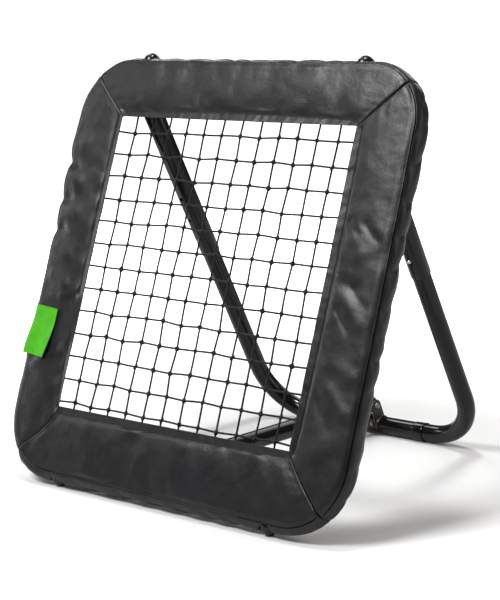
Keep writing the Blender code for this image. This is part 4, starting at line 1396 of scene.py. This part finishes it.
def rubberFoot(name, x, up):
    radius, shoulder = tube["footRadius"], foot["shoulder"]
    steps = [(shoulder - below, radius - foot["groove"] * deep) for below, deep in foot["profile"]]
    for i in range(1, 9):
        angle = quarterTurn * i / 8.2
        steps.append((shoulder + radius * math.sin(angle), radius * math.cos(angle)))
    stud = startRing(f"{name}_moulded", steps[0][1], (0, 0, steps[0][0]), sides=40)
    bpy.ops.mesh.edge_face_add()
    ringSteps(steps, (0, 0, 1))
    bpy.ops.mesh.edge_face_add()
    bpy.ops.object.mode_set(mode="OBJECT")
    cleanMesh(stud)
    deselect()
    bpy.ops.mesh.primitive_cylinder_add(
        vertices=64, radius=tube["radius"] + foot["tubeGap"], depth=0.06,
        location=(0, 0, tube["axis"]), rotation=(0, quarterTurn, 0),
    )
    cutWith(stud, newest("tube_cutter"))
    place = framePlace @ Matrix.Translation((x, 0, 0)) @ panelTurn(0 if up > 0 else 2)
    finishPiece(stud, "front_frame", rubber, [name], place, 40)
    # a standing foot is worn flat where it meets the floor
    editAll(stud)
    bpy.ops.mesh.bisect(plane_co=(0, 0, 0), plane_no=(0, 0, 1), use_fill=True, clear_inner=True)
    bpy.ops.object.mode_set(mode="OBJECT")


for sign, name in ((-1, "left"), (1, "right")):
    rubberFoot(f"foot_top_{name}", sign * tube["footX"], 1)
    rubberFoot(f"foot_bottom_{name}", sign * tube["footX"], -1)
print("feet made")

# Screws, bolts, nuts, buttons and springs
finishes = {"zinc_plated_steel": zincSteel, "bright_spring_steel": springSteel}
for name, node in list(nodes.items()):
    if not node.hide_render and slotOf[name] in finishes:
        refinedCopy(name, finishes[slotOf[name]], rounding["hardware"])

# each button's leaf spring gets a mesh of its own
for name in ("left", "right"):
    spring = bpy.data.objects[f"button_spring_{name}_finished"]
    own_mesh(spring)
print("hardware made")

# Camera, matched to the photograph, in metres and degrees
view = {
    "place": (2.2803, -2.60736, 1.00887),
    "yaw": 41.73,
    "pitch": 10.93,
    "roll": -2.32,
    "lens": 108.9,
}
yaw, pitch, roll = (math.radians(view[k]) for k in ("yaw", "pitch", "roll"))
look = Vector((-math.sin(yaw) * math.cos(pitch), math.cos(yaw) * math.cos(pitch), -math.sin(pitch)))
level = Vector((math.cos(yaw), math.sin(yaw), 0))
above = level.cross(look)
right = math.cos(roll) * level + math.sin(roll) * above
upward = -math.sin(roll) * level + math.cos(roll) * above
cameraData = bpy.data.cameras.new("photo_camera")
cameraData.lens = view["lens"]
cameraData.sensor_width = 36
camera = addObject("photo_camera", cameraData)
turn = Matrix((right, upward, -look)).transposed()
camera.matrix_world = Matrix.Translation(view["place"]) @ turn.to_4x4()
bpy.context.scene.camera = camera

# Studio: white floor and sky for the camera, soft lamps for the object
studio = {
    "floorSize": 80,
    "near": 0.46,              # the paper gets whiter for the camera from here
    "far": 6.0,
    "nearWhite": 0.84,
    "farWhite": 5.0,
    "bounce": "#c8c8c8",
    "skyLight": 0.27,
    "skyShine": 0.10,
}
deselect()
bpy.ops.mesh.primitive_plane_add(size=studio["floorSize"])
floor = newest("studio_floor")
paper, paperShader = newMaterial("whitePaperSweep", "#e8e8e8", 0.9)
isCamera = addNode(paper, "ShaderNodeLightPath").outputs["Is Camera Ray"]
spot = addNode(paper, "ShaderNodeTexCoord").outputs["Object"]
away = addNode(paper, "ShaderNodeVectorMath", {0: spot}, operation="LENGTH").outputs["Value"]
white = addNode(
    paper, "ShaderNodeMapRange",
    {"Value": away, "From Min": studio["near"], "From Max": studio["far"],
     "To Min": studio["nearWhite"], "To Max": studio["farWhite"]},
    interpolation_type="LINEAR",
)
shown = addNode(
    paper, "ShaderNodeMix",
    {0: isCamera, 6: linearColour(studio["bounce"]), 7: white.outputs["Result"]}, data_type="RGBA",
)
feedNode(paper, paperShader, {"Base Color": shown.outputs[2], "Specular IOR Level": 0.0})
floor.data.materials.append(paper)

world = bpy.data.worlds.new("studio_world")
bpy.context.scene.world = world
world.use_nodes = True
path = addNode(world, "ShaderNodeLightPath")
shine = addNode(
    world, "ShaderNodeMix",
    {0: path.outputs["Is Glossy Ray"], 2: studio["skyLight"], 3: studio["skyShine"]},
    data_type="FLOAT",
)
clear = addNode(
    world, "ShaderNodeMath",
    {0: path.outputs["Is Camera Ray"], 1: path.outputs["Is Transmission Ray"]}, operation="MAXIMUM",
)
strength = addNode(
    world, "ShaderNodeMix", {0: clear.outputs[0], 2: shine.outputs[0], 3: 1.0}, data_type="FLOAT",
)
background = world.node_tree.nodes["Background"]
background.inputs["Color"].default_value = (1, 1, 1, 1)
world.node_tree.links.new(strength.outputs[0], background.inputs["Strength"])

lamps = (
    # name, place, width and height, power, colour
    ("key_softbox", (-0.9, -2.2, 3.1), (1.25, 1.25), 108, "#ffffff"),
    ("overhead_softbox", (-0.06, 0.07, 3.6), (0.4, 0.4), 40, "#ffffff"),
    ("right_softbox", (3.1, 1.1, 1.5), (2.2, 2.2), 19, "#fff0e2"),
    ("left_strip", (-3.0, -0.9, 1.0), (0.25, 2.2), 16, "#ffffff"),
    ("back_softbox", (-0.8, 3.2, 2.2), (2.4, 1.6), 24, "#ffffff"),
    ("left_softbox", (-2.1, 1.0, 2.4), (0.9, 1.2), 17, "#ffffff"),
)
for name, place, (width, height), power, colour in lamps:
    lampData = bpy.data.lights.new(name, "AREA")
    lampData.shape = "RECTANGLE"
    lampData.size = width
    lampData.size_y = height
    lampData.energy = power
    lampData.color = linearColour(colour)[:3]
    lamp = addObject(name, lampData)
    lamp.location = place
    aim = Vector((0, 0, 0.35)) - Vector(place)
    lamp.rotation_euler = aim.to_track_quat("-Z", "Y").to_euler()
bpy.context.scene.view_settings.view_transform = "Standard"
print("studio set")
